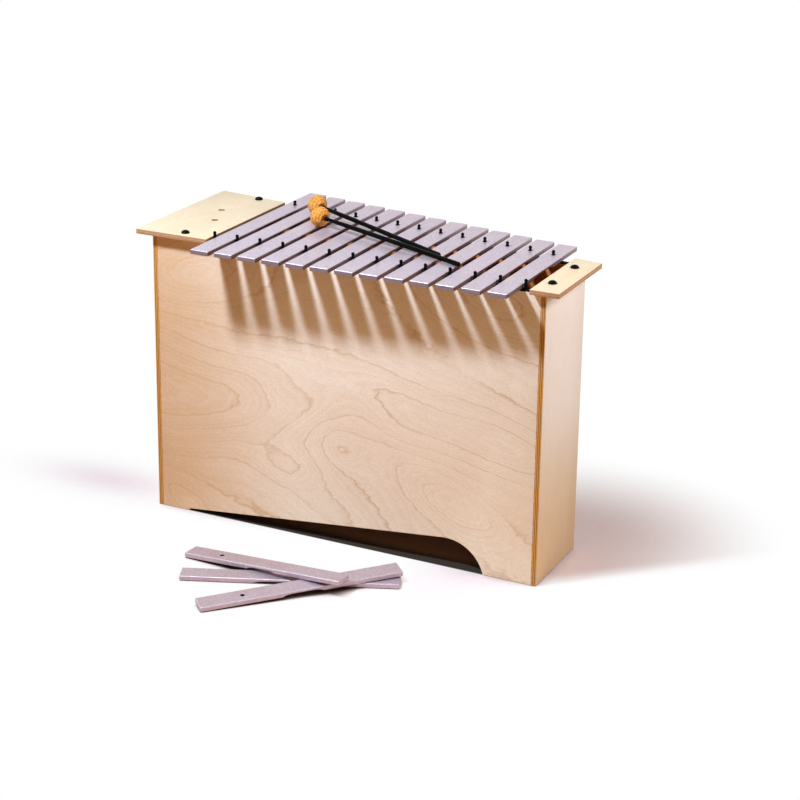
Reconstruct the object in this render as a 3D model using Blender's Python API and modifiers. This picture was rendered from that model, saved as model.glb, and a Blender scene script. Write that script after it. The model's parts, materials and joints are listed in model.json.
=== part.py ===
"""Bass metallophone: a tapered box resonator with tone bars, three spare bars and two mallets.

Box frame while building: X along the box from its left outer face, bass to treble; Y from its
front face to the back; Z up from the floor. At the end one empty moves everything so that the
world origin is the bottom centre of the whole set.
"""

import math

import bmesh
import bpy
from mathutils import Euler, Matrix, Vector

# Box, in metres. Its length follows from the row of bars and the cover boards.
BOX_HEIGHT = 0.594
DEPTH_LEFT = 0.3165
DEPTH_RIGHT = 0.202
PLY = 0.010
GAP = 0.0003

# Wedge cut out of the lower edge of the front and back panels
LEFT_FOOT = 0.075
RIGHT_FOOT = 0.113
CUT_LEFT_RISE = 0.0040
CUT_RADIUS = 0.083
CUT_CENTRE_DROP = 0.021
CUT_STEPS = 20
FLOOR_LIFT = 0.010
FLOOR_PLY = 0.010

# Cover boards on top of the box
BOARD_PLY = 0.010
BOARD_FRONT_OVERHANG = 0.016
BOARD_BACK_OVERHANG = 0.010
LEFT_BOARD_OVERHANG = 0.029
LEFT_BOARD_WIDTH = 0.164
RIGHT_BOARD_OVERHANG = 0.031
RIGHT_BOARD_WIDTH = 0.0595
STICK_HOLE_RADIUS = 0.0072
STICK_HOLES = ((0.0485, 0.1915), (0.0767, 0.117))

# Domed screws that hold the cover boards
CAP_RADIUS = 0.0085
CAP_HEIGHT = 0.006
CAP_STEPS = 6
CAP_SEGMENTS = 20
SCREW_RADIUS = 0.002
SCREW_DEPTH = 0.020
LEFT_SCREW_X = 0.075
RIGHT_SCREW_MARGINS = (0.040, 0.0487)

# Black strips under the bars, along the top edges of the front and back panels
STRIP_THICKNESS = 0.003
STRIP_END_GAP = 0.0006

# Pins: a sleeve with a cone, a neck and a ball on top, and a shank that goes into the panel
SLEEVE_RADIUS = 0.0037
NECK_RADIUS = 0.0020
BALL_RADIUS = 0.0034
BALL_RISE = 0.0065
CONE_RISE = 0.0035
BALL_STEPS = 6
SHANK_RADIUS = 0.0015
SHANK_DEPTH = 0.012
PIN_SEGMENTS = 10

# Tone bars, bass to treble
BAR_COUNT = 13
BAR_WIDTH = 0.040
BAR_THICKNESS = 0.010
LONGEST_BAR = 0.492
SHORTEST_BAR = 0.356
BAR_EDGE = 0.0014
PIN_HOLE_CLEARANCE = 0.0008
GUIDE_CLEARANCE = 0.00215
LEFT_ROW_CLEARANCE = 0.0147
RIGHT_ROW_CLEARANCE = 0.0214
NODE_SHARE = 0.2165
UNDERCUT_HALF_SHARE = 0.14
UNDERCUT_DEPTH = 0.0045
UNDERCUT_POWER = 6
UNDERCUT_STEPS = 8
HOLE_SEGMENTS = 12

# Mallets: each lies with its head and its tail end at a place in the row, counted in bars from
# the first, and at a distance from the far pins or from the guide pins
HEAD_RADIUS = 0.0215
HEAD_HALF_LENGTH = 0.019
HEAD_STEPS = 13
HEAD_SEGMENTS = 24
STICK_RADIUS = 0.0055
STICK_TIP_RADIUS = 0.0033
STICK_TAPER = 0.100
STICK_SEGMENTS = 16
STICK_SEAT = 0.006
COLLAR_RADIUS = 0.0046
COLLAR_LENGTH = 0.005
TAIL_ROUND = 0.0028
TAIL_STEPS = 3
MALLET_REACH = 0.386
FRONT_MALLET = {"head_bar": 2.447, "before_far": 0.1069, "tail_bar": 9.532, "behind_guides": 0.0397}
REAR_MALLET = {"head_bar": 1.555, "before_far": 0.0376, "tail_bar": 8.379, "behind_guides": 0.0787}

# Spare bars on the floor: middle of the left end, direction in degrees, length, half the
# undercut's share of it, and whether the hole is at the left end
SPARE_LOW = {
    "start": (0.2269, -0.2790), "heading": 22.4, "length": 0.4299, "undercut": 0.17, "hole_first": False,
}
SPARE_MIDDLE = {
    "start": (0.3288, -0.3827), "heading": 46.5, "length": 0.4068, "undercut": 0.10, "hole_first": True,
}
SPARE_TOP = {
    "start": (0.1901, -0.1837), "heading": -3.3, "length": 0.3580, "undercut": 0.09, "hole_first": True,
}

# Mesh making: the distance that merges points, and the angles of a smooth face and of a corner
MERGE = 0.00001
SMOOTH_ANGLE = math.radians(35)
CORNER_ANGLE = math.radians(60)

# Derived: the row of bars, the box's length and the heights on top of it
BAR_HOLE_RADIUS = SLEEVE_RADIUS + PIN_HOLE_CLEARANCE
BAR_PITCH = BAR_WIDTH + 2 * (SLEEVE_RADIUS + GUIDE_CLEARANCE)
LEFT_BOARD_END = LEFT_BOARD_WIDTH - LEFT_BOARD_OVERHANG
FIRST_BAR_X = LEFT_BOARD_END + LEFT_ROW_CLEARANCE + BAR_WIDTH / 2
LAST_BAR_X = FIRST_BAR_X + (BAR_COUNT - 1) * BAR_PITCH
RIGHT_BOARD_START = LAST_BAR_X + BAR_WIDTH / 2 + RIGHT_ROW_CLEARANCE
BOX_LENGTH = RIGHT_BOARD_START + RIGHT_BOARD_WIDTH - RIGHT_BOARD_OVERHANG
CUT_RIGHT = BOX_LENGTH - RIGHT_FOOT
CUT_CENTRE_X = CUT_RIGHT - math.sqrt(CUT_RADIUS**2 - CUT_CENTRE_DROP**2)
CUT_RUN = CUT_CENTRE_X - LEFT_FOOT
CUT_FALL = CUT_LEFT_RISE + CUT_CENTRE_DROP
CUT_TURN = math.asin(CUT_RADIUS / math.hypot(CUT_RUN, CUT_FALL)) - math.atan(CUT_FALL / CUT_RUN)
BAR_XS = [FIRST_BAR_X + i * BAR_PITCH for i in range(BAR_COUNT)]
GUIDE_XS = [FIRST_BAR_X + (i - 0.5) * BAR_PITCH for i in range(BAR_COUNT + 1)]
BOX_TOP = BOX_HEIGHT + GAP
BOARD_TOP = BOX_TOP + BOARD_PLY
STRIP_TOP = BOX_TOP + STRIP_THICKNESS
BAR_BOTTOM = STRIP_TOP + GAP
BAR_TOP = BAR_BOTTOM + BAR_THICKNESS
BACK_TURN = math.atan((DEPTH_RIGHT - DEPTH_LEFT) / BOX_LENGTH)
PLY_ALONG_Y = PLY / math.cos(BACK_TURN)
FRONT_PIN_Y = PLY / 2


def back_face(x):
    """Y of the back panel's outer face at a place along the box."""
    return DEPTH_LEFT + (DEPTH_RIGHT - DEPTH_LEFT) * x / BOX_LENGTH


def back_pin_y(x):
    """Y of the far pins, on the middle of the back panel's top edge."""
    return back_face(x) - PLY_ALONG_Y / 2


for old in list(bpy.data.objects):
    bpy.data.objects.remove(old, do_unlink=True)
PARTS = bpy.data.collections.new("bass_metallophone")
CUTTERS = bpy.data.collections.new("cutters")
bpy.context.scene.collection.children.link(PARTS)
bpy.context.scene.collection.children.link(CUTTERS)
ROOT = bpy.data.objects.new("instrument_frame", None)
PARTS.objects.link(ROOT)

FINISHES = {
    "birch_front": ((0.74, 0.53, 0.33), 0.45, 0.0),
    "birch_side": ((0.84, 0.72, 0.60), 0.45, 0.0),
    "birch_board": ((0.90, 0.80, 0.62), 0.40, 0.0),
    "birch_inside": ((0.55, 0.38, 0.22), 0.60, 0.0),
    "bar_paint": ((0.66, 0.62, 0.66), 0.45, 0.35),
    "black_rubber": ((0.015, 0.015, 0.015), 0.55, 0.0),
    "black_pin": ((0.012, 0.012, 0.012), 0.45, 0.0),
    "black_gloss": ((0.01, 0.01, 0.01), 0.15, 0.0),
    "orange_yarn": ((0.72, 0.36, 0.13), 0.90, 0.0),
}


def finish(name):
    """The material of that name, made once."""
    made = bpy.data.materials.get(name)
    if made:
        return made
    colour, roughness, metallic = FINISHES[name]
    made = bpy.data.materials.new(name)
    made.use_nodes = True
    shader = made.node_tree.nodes["Principled BSDF"]
    shader.inputs["Base Color"].default_value = (*colour, 1.0)
    shader.inputs["Roughness"].default_value = roughness
    shader.inputs["Metallic"].default_value = metallic
    return made


def place(name, mesh, material_name, location=(0, 0, 0), rotation=(0, 0, 0)):
    """A part of the model, carried by the instrument's frame."""
    obj = bpy.data.objects.new(name, mesh)
    PARTS.objects.link(obj)
    obj.location = location
    obj.rotation_euler = rotation
    obj.parent = ROOT
    if not mesh.materials:
        mesh.materials.append(finish(material_name))
    return obj


def cutter(name, mesh, parent=ROOT):
    """A hidden shape that a Boolean takes away."""
    obj = bpy.data.objects.new(name, mesh)
    CUTTERS.objects.link(obj)
    obj.parent = parent
    obj.hide_render = True
    obj.display_type = "WIRE"
    return obj


def cut(obj, tool, operation="DIFFERENCE"):
    """Adds an exact Boolean with the tool."""
    mod = obj.modifiers.new(tool.name, "BOOLEAN")
    mod.operation = operation
    mod.solver = "EXACT"
    mod.object = tool


# How a flat outline's own X, Y and thickness lie in the box: seen from above, from the front
# and from the right
FROM_ABOVE = Matrix.Identity(4)
FROM_FRONT = Matrix(((1, 0, 0, 0), (0, 0, -1, 0), (0, 1, 0, 0), (0, 0, 0, 1)))
FROM_RIGHT = Matrix(((0, 0, 1, 0), (1, 0, 0, 0), (0, 1, 0, 0), (0, 0, 0, 1)))


def slab(name, outline, low, high, seen=FROM_ABOVE):
    """A mesh with a flat outline, filled between two heights across it."""
    curve = bpy.data.curves.new(name, "CURVE")
    curve.dimensions = "2D"
    curve.fill_mode = "BOTH"
    curve.extrude = (high - low) / 2
    spline = curve.splines.new("POLY")
    spline.points.add(len(outline) - 1)
    for point, (x, y) in zip(spline.points, outline):
        point.co = (x, y, 0, 1)
    spline.use_cyclic_u = True
    flat = bpy.data.objects.new(name + "_outline", curve)
    bpy.context.scene.collection.objects.link(flat)
    evaluated = flat.evaluated_get(bpy.context.evaluated_depsgraph_get())
    mesh = bpy.data.meshes.new_from_object(evaluated)
    bpy.data.objects.remove(flat, do_unlink=True)
    bpy.data.curves.remove(curve)
    mesh.name = name
    work = bmesh.new()
    work.from_mesh(mesh)
    bmesh.ops.remove_doubles(work, verts=work.verts, dist=MERGE)
    bmesh.ops.recalc_face_normals(work, faces=work.faces)
    work.transform(seen @ Matrix.Translation((0, 0, (low + high) / 2)))
    work.to_mesh(mesh)
    work.free()
    return mesh


def round_holes(name, places, radius, low, high, segments=PIN_SEGMENTS):
    """A mesh of upright cylinders at several places, for cutting holes."""
    work = bmesh.new()
    for x, y in places:
        middle = Matrix.Translation((x, y, (low + high) / 2))
        bmesh.ops.create_cone(
            work, cap_ends=True, segments=segments, radius1=radius, radius2=radius,
            depth=high - low, matrix=middle,
        )
    mesh = bpy.data.meshes.new(name)
    work.to_mesh(mesh)
    work.free()
    return mesh


def turned(name, profile, segments):
    """A mesh turned about Z from a profile of (radius, height) points that runs top to bottom."""
    mesh = bpy.data.meshes.new(name)
    points = [(r, 0, z) for r, z in profile]
    mesh.from_pydata(points, [(i, i + 1) for i in range(len(points) - 1)], [])
    holder = bpy.data.objects.new(name + "_profile", mesh)
    bpy.context.scene.collection.objects.link(holder)
    screw = holder.modifiers.new("turn", "SCREW")
    screw.axis = "Z"
    screw.steps = screw.render_steps = segments
    screw.use_merge_vertices = True
    screw.merge_threshold = MERGE
    solid = bpy.data.meshes.new_from_object(
        holder.evaluated_get(bpy.context.evaluated_depsgraph_get())
    )
    bpy.data.objects.remove(holder, do_unlink=True)
    bpy.data.meshes.remove(mesh)
    solid.name = name
    solid.shade_smooth()
    solid.set_sharp_from_angle(angle=SMOOTH_ANGLE)
    return solid


def arc(radius, first, last, steps):
    """Points of a circular arc between two angles, about its own centre."""
    angles = [first + (last - first) * i / steps for i in range(steps + 1)]
    return [(radius * math.cos(a), radius * math.sin(a)) for a in angles]


def cut_line(x):
    """Height of the wedge's sloping top edge. It starts at the top of the short rise and meets the
    round end as a tangent, which sets its slope."""
    return CUT_LEFT_RISE + math.tan(CUT_TURN) * (x - LEFT_FOOT)


def wedge_outline():
    """The wedge seen from the front: a short rise, the sloping edge and the round end."""
    first = math.pi / 2 + CUT_TURN
    last = math.asin(CUT_CENTRE_DROP / CUT_RADIUS)
    curve = [(CUT_CENTRE_X + x, z - CUT_CENTRE_DROP) for x, z in arc(CUT_RADIUS, first, last, CUT_STEPS)]
    return [(LEFT_FOOT, -PLY), (LEFT_FOOT, cut_line(LEFT_FOOT))] + curve + [(CUT_RIGHT, -PLY)]


def top_edge_holes(panel, kind, places, radius, depth):
    """Upright blind holes in a panel's top edge."""
    name = f"{panel.name}_{kind}_holes"
    low, high = BOX_HEIGHT - depth - GAP, BOX_HEIGHT + PLY
    cut(panel, cutter(name, round_holes(name, places, radius + GAP, low, high)))


def guide_places():
    """Plan places of the guide pins, on the middle of the front panel's top edge."""
    return [(x, FRONT_PIN_Y) for x in GUIDE_XS]


def far_places():
    """Plan places of the far pins."""
    return [(x, back_pin_y(x)) for x in BAR_XS]


def left_screw_places():
    """Plan places of the left board's screws, over the front and back panels."""
    return [(LEFT_SCREW_X, FRONT_PIN_Y), (LEFT_SCREW_X, back_pin_y(LEFT_SCREW_X))]


def right_screw_places():
    """Plan places of the right board's screws, over the right side panel."""
    x = BOX_LENGTH - PLY / 2
    front_margin, back_margin = RIGHT_SCREW_MARGINS
    return [(x, front_margin), (x, back_face(x) - back_margin)]


def across_box(x0, x1, front, back):
    """Plan outline between two places along the box, its back edge along the slanted back."""
    return [(x0, front), (x1, front), (x1, back_face(x1) + back), (x0, back_face(x0) + back)]


def along_back(x0, x1):
    """Plan outline of what stands on or in the back panel's thickness."""
    inner = [(x, back_face(x) - PLY_ALONG_Y) for x in (x0, x1)]
    return inner + [(x1, back_face(x1)), (x0, back_face(x0))]


def along_front(x0, x1):
    """Plan outline of what stands on or in the front panel's thickness."""
    return [(x0, 0), (x1, 0), (x1, PLY), (x0, PLY)]


def build_cabinet():
    """The four panels with their wedges and blind holes, and the sloping floor."""
    left, right = PLY + GAP, BOX_LENGTH - PLY - GAP
    plans = {
        "left_side_panel": (across_box(0, PLY, 0, 0), "birch_side"),
        "right_side_panel": (across_box(BOX_LENGTH - PLY, BOX_LENGTH, 0, 0), "birch_side"),
        "front_panel": (along_front(left, right), "birch_front"),
        "back_panel": (along_back(left, right), "birch_front"),
    }
    panels = {
        name: place(name, slab(name, plan, 0, BOX_HEIGHT), wood) for name, (plan, wood) in plans.items()
    }
    wedge = cutter("wedge_cut", slab("wedge_cut", wedge_outline(), -2 * DEPTH_LEFT, PLY, FROM_FRONT))
    cut(panels["front_panel"], wedge)
    cut(panels["back_panel"], wedge)
    top_edge_holes(panels["front_panel"], "pin", guide_places(), SHANK_RADIUS, SHANK_DEPTH)
    top_edge_holes(panels["back_panel"], "pin", far_places(), SHANK_RADIUS, SHANK_DEPTH)
    front_screw, back_screw = left_screw_places()
    top_edge_holes(panels["front_panel"], "screw", [front_screw], SCREW_RADIUS, SCREW_DEPTH)
    top_edge_holes(panels["back_panel"], "screw", [back_screw], SCREW_RADIUS, SCREW_DEPTH)
    top_edge_holes(panels["right_side_panel"], "screw", right_screw_places(), SCREW_RADIUS, SCREW_DEPTH)

    low_left, low_right = cut_line(left) + FLOOR_LIFT, cut_line(right) + FLOOR_LIFT
    slope = [
        (left, low_left), (right, low_right),
        (right, low_right + FLOOR_PLY), (left, low_left + FLOOR_PLY),
    ]
    whole_depth = slab("sloping_floor", slope, -2 * DEPTH_LEFT, DEPTH_LEFT, FROM_FRONT)
    floor = place("sloping_floor", whole_depth, "birch_inside")
    inside = across_box(0, BOX_LENGTH, PLY + GAP, -PLY_ALONG_Y - GAP)
    cut(floor, cutter("floor_plan", slab("floor_plan", inside, -PLY, BOX_HEIGHT)), "INTERSECT")


def build_boards():
    """The two cover boards with their holes, and the domed screws that hold them."""
    low, high = BOX_TOP - PLY, BOARD_TOP + PLY
    spans = {
        "left_cover_board": (-LEFT_BOARD_OVERHANG, LEFT_BOARD_END, left_screw_places()),
        "right_cover_board": (RIGHT_BOARD_START, BOX_LENGTH + RIGHT_BOARD_OVERHANG, right_screw_places()),
    }
    boards = {}
    for name, (x0, x1, screws) in spans.items():
        outline = across_box(x0, x1, -BOARD_FRONT_OVERHANG, BOARD_BACK_OVERHANG)
        boards[name] = place(name, slab(name, outline, BOX_TOP, BOARD_TOP), "birch_board")
        tool = round_holes(name + "_screw_holes", screws, SCREW_RADIUS + GAP, low, high)
        cut(boards[name], cutter(name + "_screw_holes", tool))
    tool = round_holes("stick_holes", STICK_HOLES, STICK_HOLE_RADIUS, low, high, HOLE_SEGMENTS)
    cut(boards["left_cover_board"], cutter("stick_holes", tool))

    dome = [(r * CAP_RADIUS, z * CAP_HEIGHT) for z, r in arc(1, 0, math.pi / 2, CAP_STEPS)]
    foot = -BOARD_PLY - SCREW_DEPTH
    mesh = turned("domed_screw", dome + [(SCREW_RADIUS, 0), (SCREW_RADIUS, foot), (0, foot)], CAP_SEGMENTS)
    names = ("left_front_screw", "left_back_screw", "right_front_screw", "right_back_screw")
    for name, (x, y) in zip(names, left_screw_places() + right_screw_places()):
        place(name, mesh, "black_gloss", (x, y, BOARD_TOP + GAP))


def build_strips():
    """The black strips that the bars lie on, pierced by the pins."""
    x0, x1 = LEFT_BOARD_END + STRIP_END_GAP, RIGHT_BOARD_START - STRIP_END_GAP
    for name, outline, places in (
        ("front_strip", along_front(x0, x1), guide_places()),
        ("back_strip", along_back(x0, x1), far_places()),
    ):
        strip = place(name, slab(name, outline, BOX_TOP, STRIP_TOP), "black_rubber")
        tool = round_holes(name + "_holes", places, SHANK_RADIUS + GAP, BOX_HEIGHT - PLY, STRIP_TOP + PLY)
        cut(strip, cutter(name + "_holes", tool))


def build_pins():
    """Far pins through the bars' holes and guide pins in the gaps. Heights count from the strip."""
    bar_top = BAR_TOP - STRIP_TOP
    foot = -STRIP_THICKNESS - GAP - SHANK_DEPTH
    lowest = math.pi - math.asin(NECK_RADIUS / BALL_RADIUS)
    ball = [(r, bar_top + BALL_RISE + z) for z, r in arc(BALL_RADIUS, 0, lowest, BALL_STEPS)]
    sleeve = [(NECK_RADIUS, bar_top + CONE_RISE), (SLEEVE_RADIUS, bar_top), (SLEEVE_RADIUS, GAP)]
    shank = [(SHANK_RADIUS, GAP), (SHANK_RADIUS, foot), (0, foot)]
    mesh = turned("pin", ball + sleeve + shank, PIN_SEGMENTS)
    for kind, places in (("far_pin", far_places()), ("guide_pin", guide_places())):
        for i, (x, y) in enumerate(places, 1):
            place(f"{kind}_{i:02d}", mesh, "black_pin", (x, y, STRIP_TOP))


def bar_outline(length, undercut, far_end):
    """A bar seen from its side, with the hole's axis at 0 and the tuning undercut at mid-length."""
    middle = far_end - length / 2
    half = undercut * length
    near_end = far_end - length
    points = [(far_end, 0), (far_end, BAR_THICKNESS), (near_end, BAR_THICKNESS), (near_end, 0)]
    for i in range(UNDERCUT_STEPS + 1):
        t = 2 * i / UNDERCUT_STEPS - 1
        points.append((middle + half * t, UNDERCUT_DEPTH * (1 - t**UNDERCUT_POWER)))
    return points


def build_bar(name, length, undercut, far_end, location, rotation=(0, 0, 0)):
    """One tone bar: the undercut slab, eased edges and the round hole at its far node."""
    outline = bar_outline(length, undercut, far_end)
    mesh = slab(name, outline, -BAR_WIDTH / 2, BAR_WIDTH / 2, FROM_RIGHT)
    bar = place(name, mesh, "bar_paint", location, rotation)
    ease = bar.modifiers.new("eased_edges", "BEVEL")
    ease.width = BAR_EDGE
    ease.segments = 1
    ease.limit_method = "ANGLE"
    ease.angle_limit = CORNER_ANGLE
    reach = (-BAR_THICKNESS, 2 * BAR_THICKNESS)
    hole = round_holes(name + "_hole", [(0, 0)], BAR_HOLE_RADIUS, *reach, HOLE_SEGMENTS)
    cut(bar, cutter(name + "_hole", hole, parent=bar))
    return bar


def build_tone_bars():
    """The bars on the box, bass first, each centred over its two supports."""
    for i, x in enumerate(BAR_XS):
        length = LONGEST_BAR + (SHORTEST_BAR - LONGEST_BAR) * i / (BAR_COUNT - 1)
        span = back_pin_y(x) - FRONT_PIN_Y
        far_end = (length - span) / 2
        spot = (x, back_pin_y(x), BAR_BOTTOM)
        build_bar(f"tone_bar_{i + 1:02d}", length, UNDERCUT_HALF_SHARE, far_end, spot)


class LooseBar:
    """A bar in plan: its left end's middle, the way along it and the way across it."""

    def __init__(self, start, heading, length, undercut, hole_first):
        self.start = Vector(start)
        self.along = Vector((math.cos(math.radians(heading)), math.sin(math.radians(heading))))
        self.across = Vector((-self.along.y, self.along.x))
        self.length = length
        self.undercut = undercut
        self.hole_at = NODE_SHARE * length if hole_first else (1 - NODE_SHARE) * length
        self.towards_hole = -self.along if hole_first else self.along

    def edge(self, side):
        """Start of the bar's long edge at the back (side 1) or the front (side -1)."""
        return self.start + self.across * (side * BAR_WIDTH / 2)

    def crossing(self, side, other, other_side):
        """Where one of its long edges crosses one of another bar's, in plan."""
        gap = other.edge(other_side) - self.edge(side)
        reach = gap.cross(other.along) / self.along.cross(other.along)
        return self.edge(side) + self.along * reach


def plane_through(points):
    """Middle point and upward normal of the plane through three points."""
    a, b, c = (Vector(p) for p in points)
    normal = (b - a).cross(c - a).normalized()
    return a, normal if normal.z > 0 else -normal


def height_on(plane, spot):
    """Height of a plane above a place in plan."""
    point, normal = plane
    return point.z - (normal.x * (spot.x - point.x) + normal.y * (spot.y - point.y)) / normal.z


def resting_plane(bar, contacts):
    """Plane of a bar's underside through two contacts and whichever corner of its end reaches the
    floor first, so that the other corner is no lower."""
    planes = {side: plane_through([(*bar.edge(side), 0), *contacts]) for side in (-1, 1)}
    return planes[-1] if height_on(planes[-1], bar.edge(1)) >= 0 else planes[1]


def build_loose_bar(name, bar, plane):
    """A bar whose underside lies in the plane, over its own place in plan."""
    spot = bar.start + bar.along * bar.hole_at
    normal = plane[1]
    ahead = Vector((*bar.towards_hole, 0))
    ahead = (ahead - normal * ahead.dot(normal)).normalized()
    turn = Matrix((ahead.cross(normal), ahead, normal)).transposed().to_euler()
    far_end = NODE_SHARE * bar.length
    foot = (spot.x, spot.y, height_on(plane, spot))
    build_bar(name, bar.length, bar.undercut, far_end, foot, turn)


def build_spare_bars():
    """Three spare bars in a loose stack. The low one lies flat, the middle one leans on its front
    edge, and the top one leans on the middle one's back edge."""
    low, middle, top = (LooseBar(**spare) for spare in (SPARE_LOW, SPARE_MIDDLE, SPARE_TOP))
    flat = (Vector((0, 0, 0)), Vector((0, 0, 1)))
    on_low = BAR_THICKNESS + GAP
    middle_plane = resting_plane(middle, [
        (*middle.crossing(1, low, -1), on_low),
        (*middle.crossing(-1, low, -1), on_low),
    ])
    on_middle = BAR_THICKNESS / middle_plane[1].z + GAP
    meetings = [top.crossing(side, middle, 1) for side in (1, -1)]
    top_plane = resting_plane(top, [(*spot, height_on(middle_plane, spot) + on_middle) for spot in meetings])
    build_loose_bar("spare_bar_low", low, flat)
    build_loose_bar("spare_bar_middle", middle, middle_plane)
    build_loose_bar("spare_bar_top", top, top_plane)


def row_place(bar):
    """Place along the box of a bar's middle, counted from the first bar."""
    return FIRST_BAR_X + bar * BAR_PITCH


def head_height(x):
    """Height of a round head's middle where it lies on the bars. Over a gap it sinks until it
    touches the nearer bar's edge."""
    past_edge = max(0, min(abs(x - bar) for bar in BAR_XS) - BAR_WIDTH / 2)
    return BAR_TOP + GAP + math.sqrt(HEAD_RADIUS**2 - past_edge**2)


def build_mallets():
    """Two mallets lying on the bars, each a head on a stick that thins towards it. The head and
    the stick's tail touch the bars, which sets the tilt."""
    mouth = math.pi - math.asin((STICK_TIP_RADIUS + GAP) / HEAD_RADIUS)
    outer = [(r * HEAD_RADIUS, z * HEAD_HALF_LENGTH) for z, r in arc(1, 0, mouth, HEAD_STEPS)]
    seat = [(STICK_TIP_RADIUS + GAP, STICK_SEAT), (0, STICK_SEAT)]
    head_mesh = turned("mallet_head", outer + seat, HEAD_SEGMENTS)
    tail = -MALLET_REACH
    collar = -HEAD_HALF_LENGTH - GAP
    stick = [
        (0, STICK_SEAT - GAP), (STICK_TIP_RADIUS, STICK_SEAT - GAP), (STICK_TIP_RADIUS, collar),
        (COLLAR_RADIUS, collar), (COLLAR_RADIUS, collar - COLLAR_LENGTH),
        (STICK_TIP_RADIUS, collar - COLLAR_LENGTH), (STICK_RADIUS, -STICK_TAPER),
    ]
    stick += [
        (STICK_RADIUS - TAIL_ROUND * (1 - r), tail + TAIL_ROUND * (1 - z))
        for r, z in arc(1, 0, math.pi / 2, TAIL_STEPS)
    ]
    stick_mesh = turned("mallet_stick", stick + [(0, tail)], STICK_SEGMENTS)
    for name, lie in (("front_mallet", FRONT_MALLET), ("rear_mallet", REAR_MALLET)):
        head_x, tail_x = row_place(lie["head_bar"]), row_place(lie["tail_bar"])
        head_y, tail_y = back_pin_y(head_x) - lie["before_far"], FRONT_PIN_Y + lie["behind_guides"]
        head_z, tail_z = head_height(head_x), BAR_TOP + GAP + STICK_RADIUS
        tilt = math.asin((head_z - tail_z) / MALLET_REACH)
        turn = Euler((0, math.pi / 2 - tilt, math.atan2(head_y - tail_y, head_x - tail_x)))
        place(f"{name}_head", head_mesh, "orange_yarn", (head_x, head_y, head_z), turn)
        place(f"{name}_stick", stick_mesh, "black_gloss", (head_x, head_y, head_z), turn)


def centre_origin():
    """Moves the whole set so that the world origin is at the bottom centre of its box."""
    bpy.context.view_layer.update()
    graph = bpy.context.evaluated_depsgraph_get()
    corners = []
    for obj in PARTS.objects:
        if obj.type == "MESH":
            shape = obj.evaluated_get(graph)
            corners += [obj.matrix_world @ v.co for v in shape.data.vertices]
    lows = [min(c[i] for c in corners) for i in range(3)]
    highs = [max(c[i] for c in corners) for i in range(3)]
    ROOT.location = (-(lows[0] + highs[0]) / 2, -(lows[1] + highs[1]) / 2, -lows[2])


build_cabinet()
build_boards()
build_strips()
build_pins()
build_tone_bars()
build_spare_bars()
build_mallets()
centre_origin()
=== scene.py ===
"""Looks of the bass metallophone: veneer, lacquered bars, wound mallet heads, floor, light, camera.

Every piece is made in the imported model's own frame, in metres, and stays where its CAD node is.
"""

from __future__ import annotations

import json
import logging
import math
from dataclasses import dataclass, replace
from enum import Enum
from typing import Iterable, Sequence, Union

import bmesh
import bpy
import numpy as np
from mathutils import Matrix, Vector

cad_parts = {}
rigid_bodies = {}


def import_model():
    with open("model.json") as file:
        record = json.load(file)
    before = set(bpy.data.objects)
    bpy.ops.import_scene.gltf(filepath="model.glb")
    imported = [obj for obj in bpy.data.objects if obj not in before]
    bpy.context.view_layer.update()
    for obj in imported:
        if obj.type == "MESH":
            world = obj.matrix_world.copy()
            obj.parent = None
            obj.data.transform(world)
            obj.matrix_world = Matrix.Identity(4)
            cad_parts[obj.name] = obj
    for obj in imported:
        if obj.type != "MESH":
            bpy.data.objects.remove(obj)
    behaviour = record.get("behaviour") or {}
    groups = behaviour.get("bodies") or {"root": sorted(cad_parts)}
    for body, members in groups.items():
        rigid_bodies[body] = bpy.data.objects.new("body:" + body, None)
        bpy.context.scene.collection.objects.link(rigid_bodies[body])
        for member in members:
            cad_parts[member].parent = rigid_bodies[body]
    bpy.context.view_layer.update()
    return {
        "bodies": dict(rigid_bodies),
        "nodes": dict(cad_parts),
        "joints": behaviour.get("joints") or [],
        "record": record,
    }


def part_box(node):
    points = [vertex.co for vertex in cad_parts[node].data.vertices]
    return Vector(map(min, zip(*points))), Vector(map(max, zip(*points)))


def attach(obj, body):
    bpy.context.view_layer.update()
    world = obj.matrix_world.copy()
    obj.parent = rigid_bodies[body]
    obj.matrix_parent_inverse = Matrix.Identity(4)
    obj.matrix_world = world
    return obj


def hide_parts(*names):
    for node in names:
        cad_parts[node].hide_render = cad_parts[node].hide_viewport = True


LOG = logging.getLogger("bass_metallophone")

Colour = tuple[float, float, float]
Socket = bpy.types.NodeSocket
Value = Union[Socket, float, Sequence[float]]


# Node trees


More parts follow.
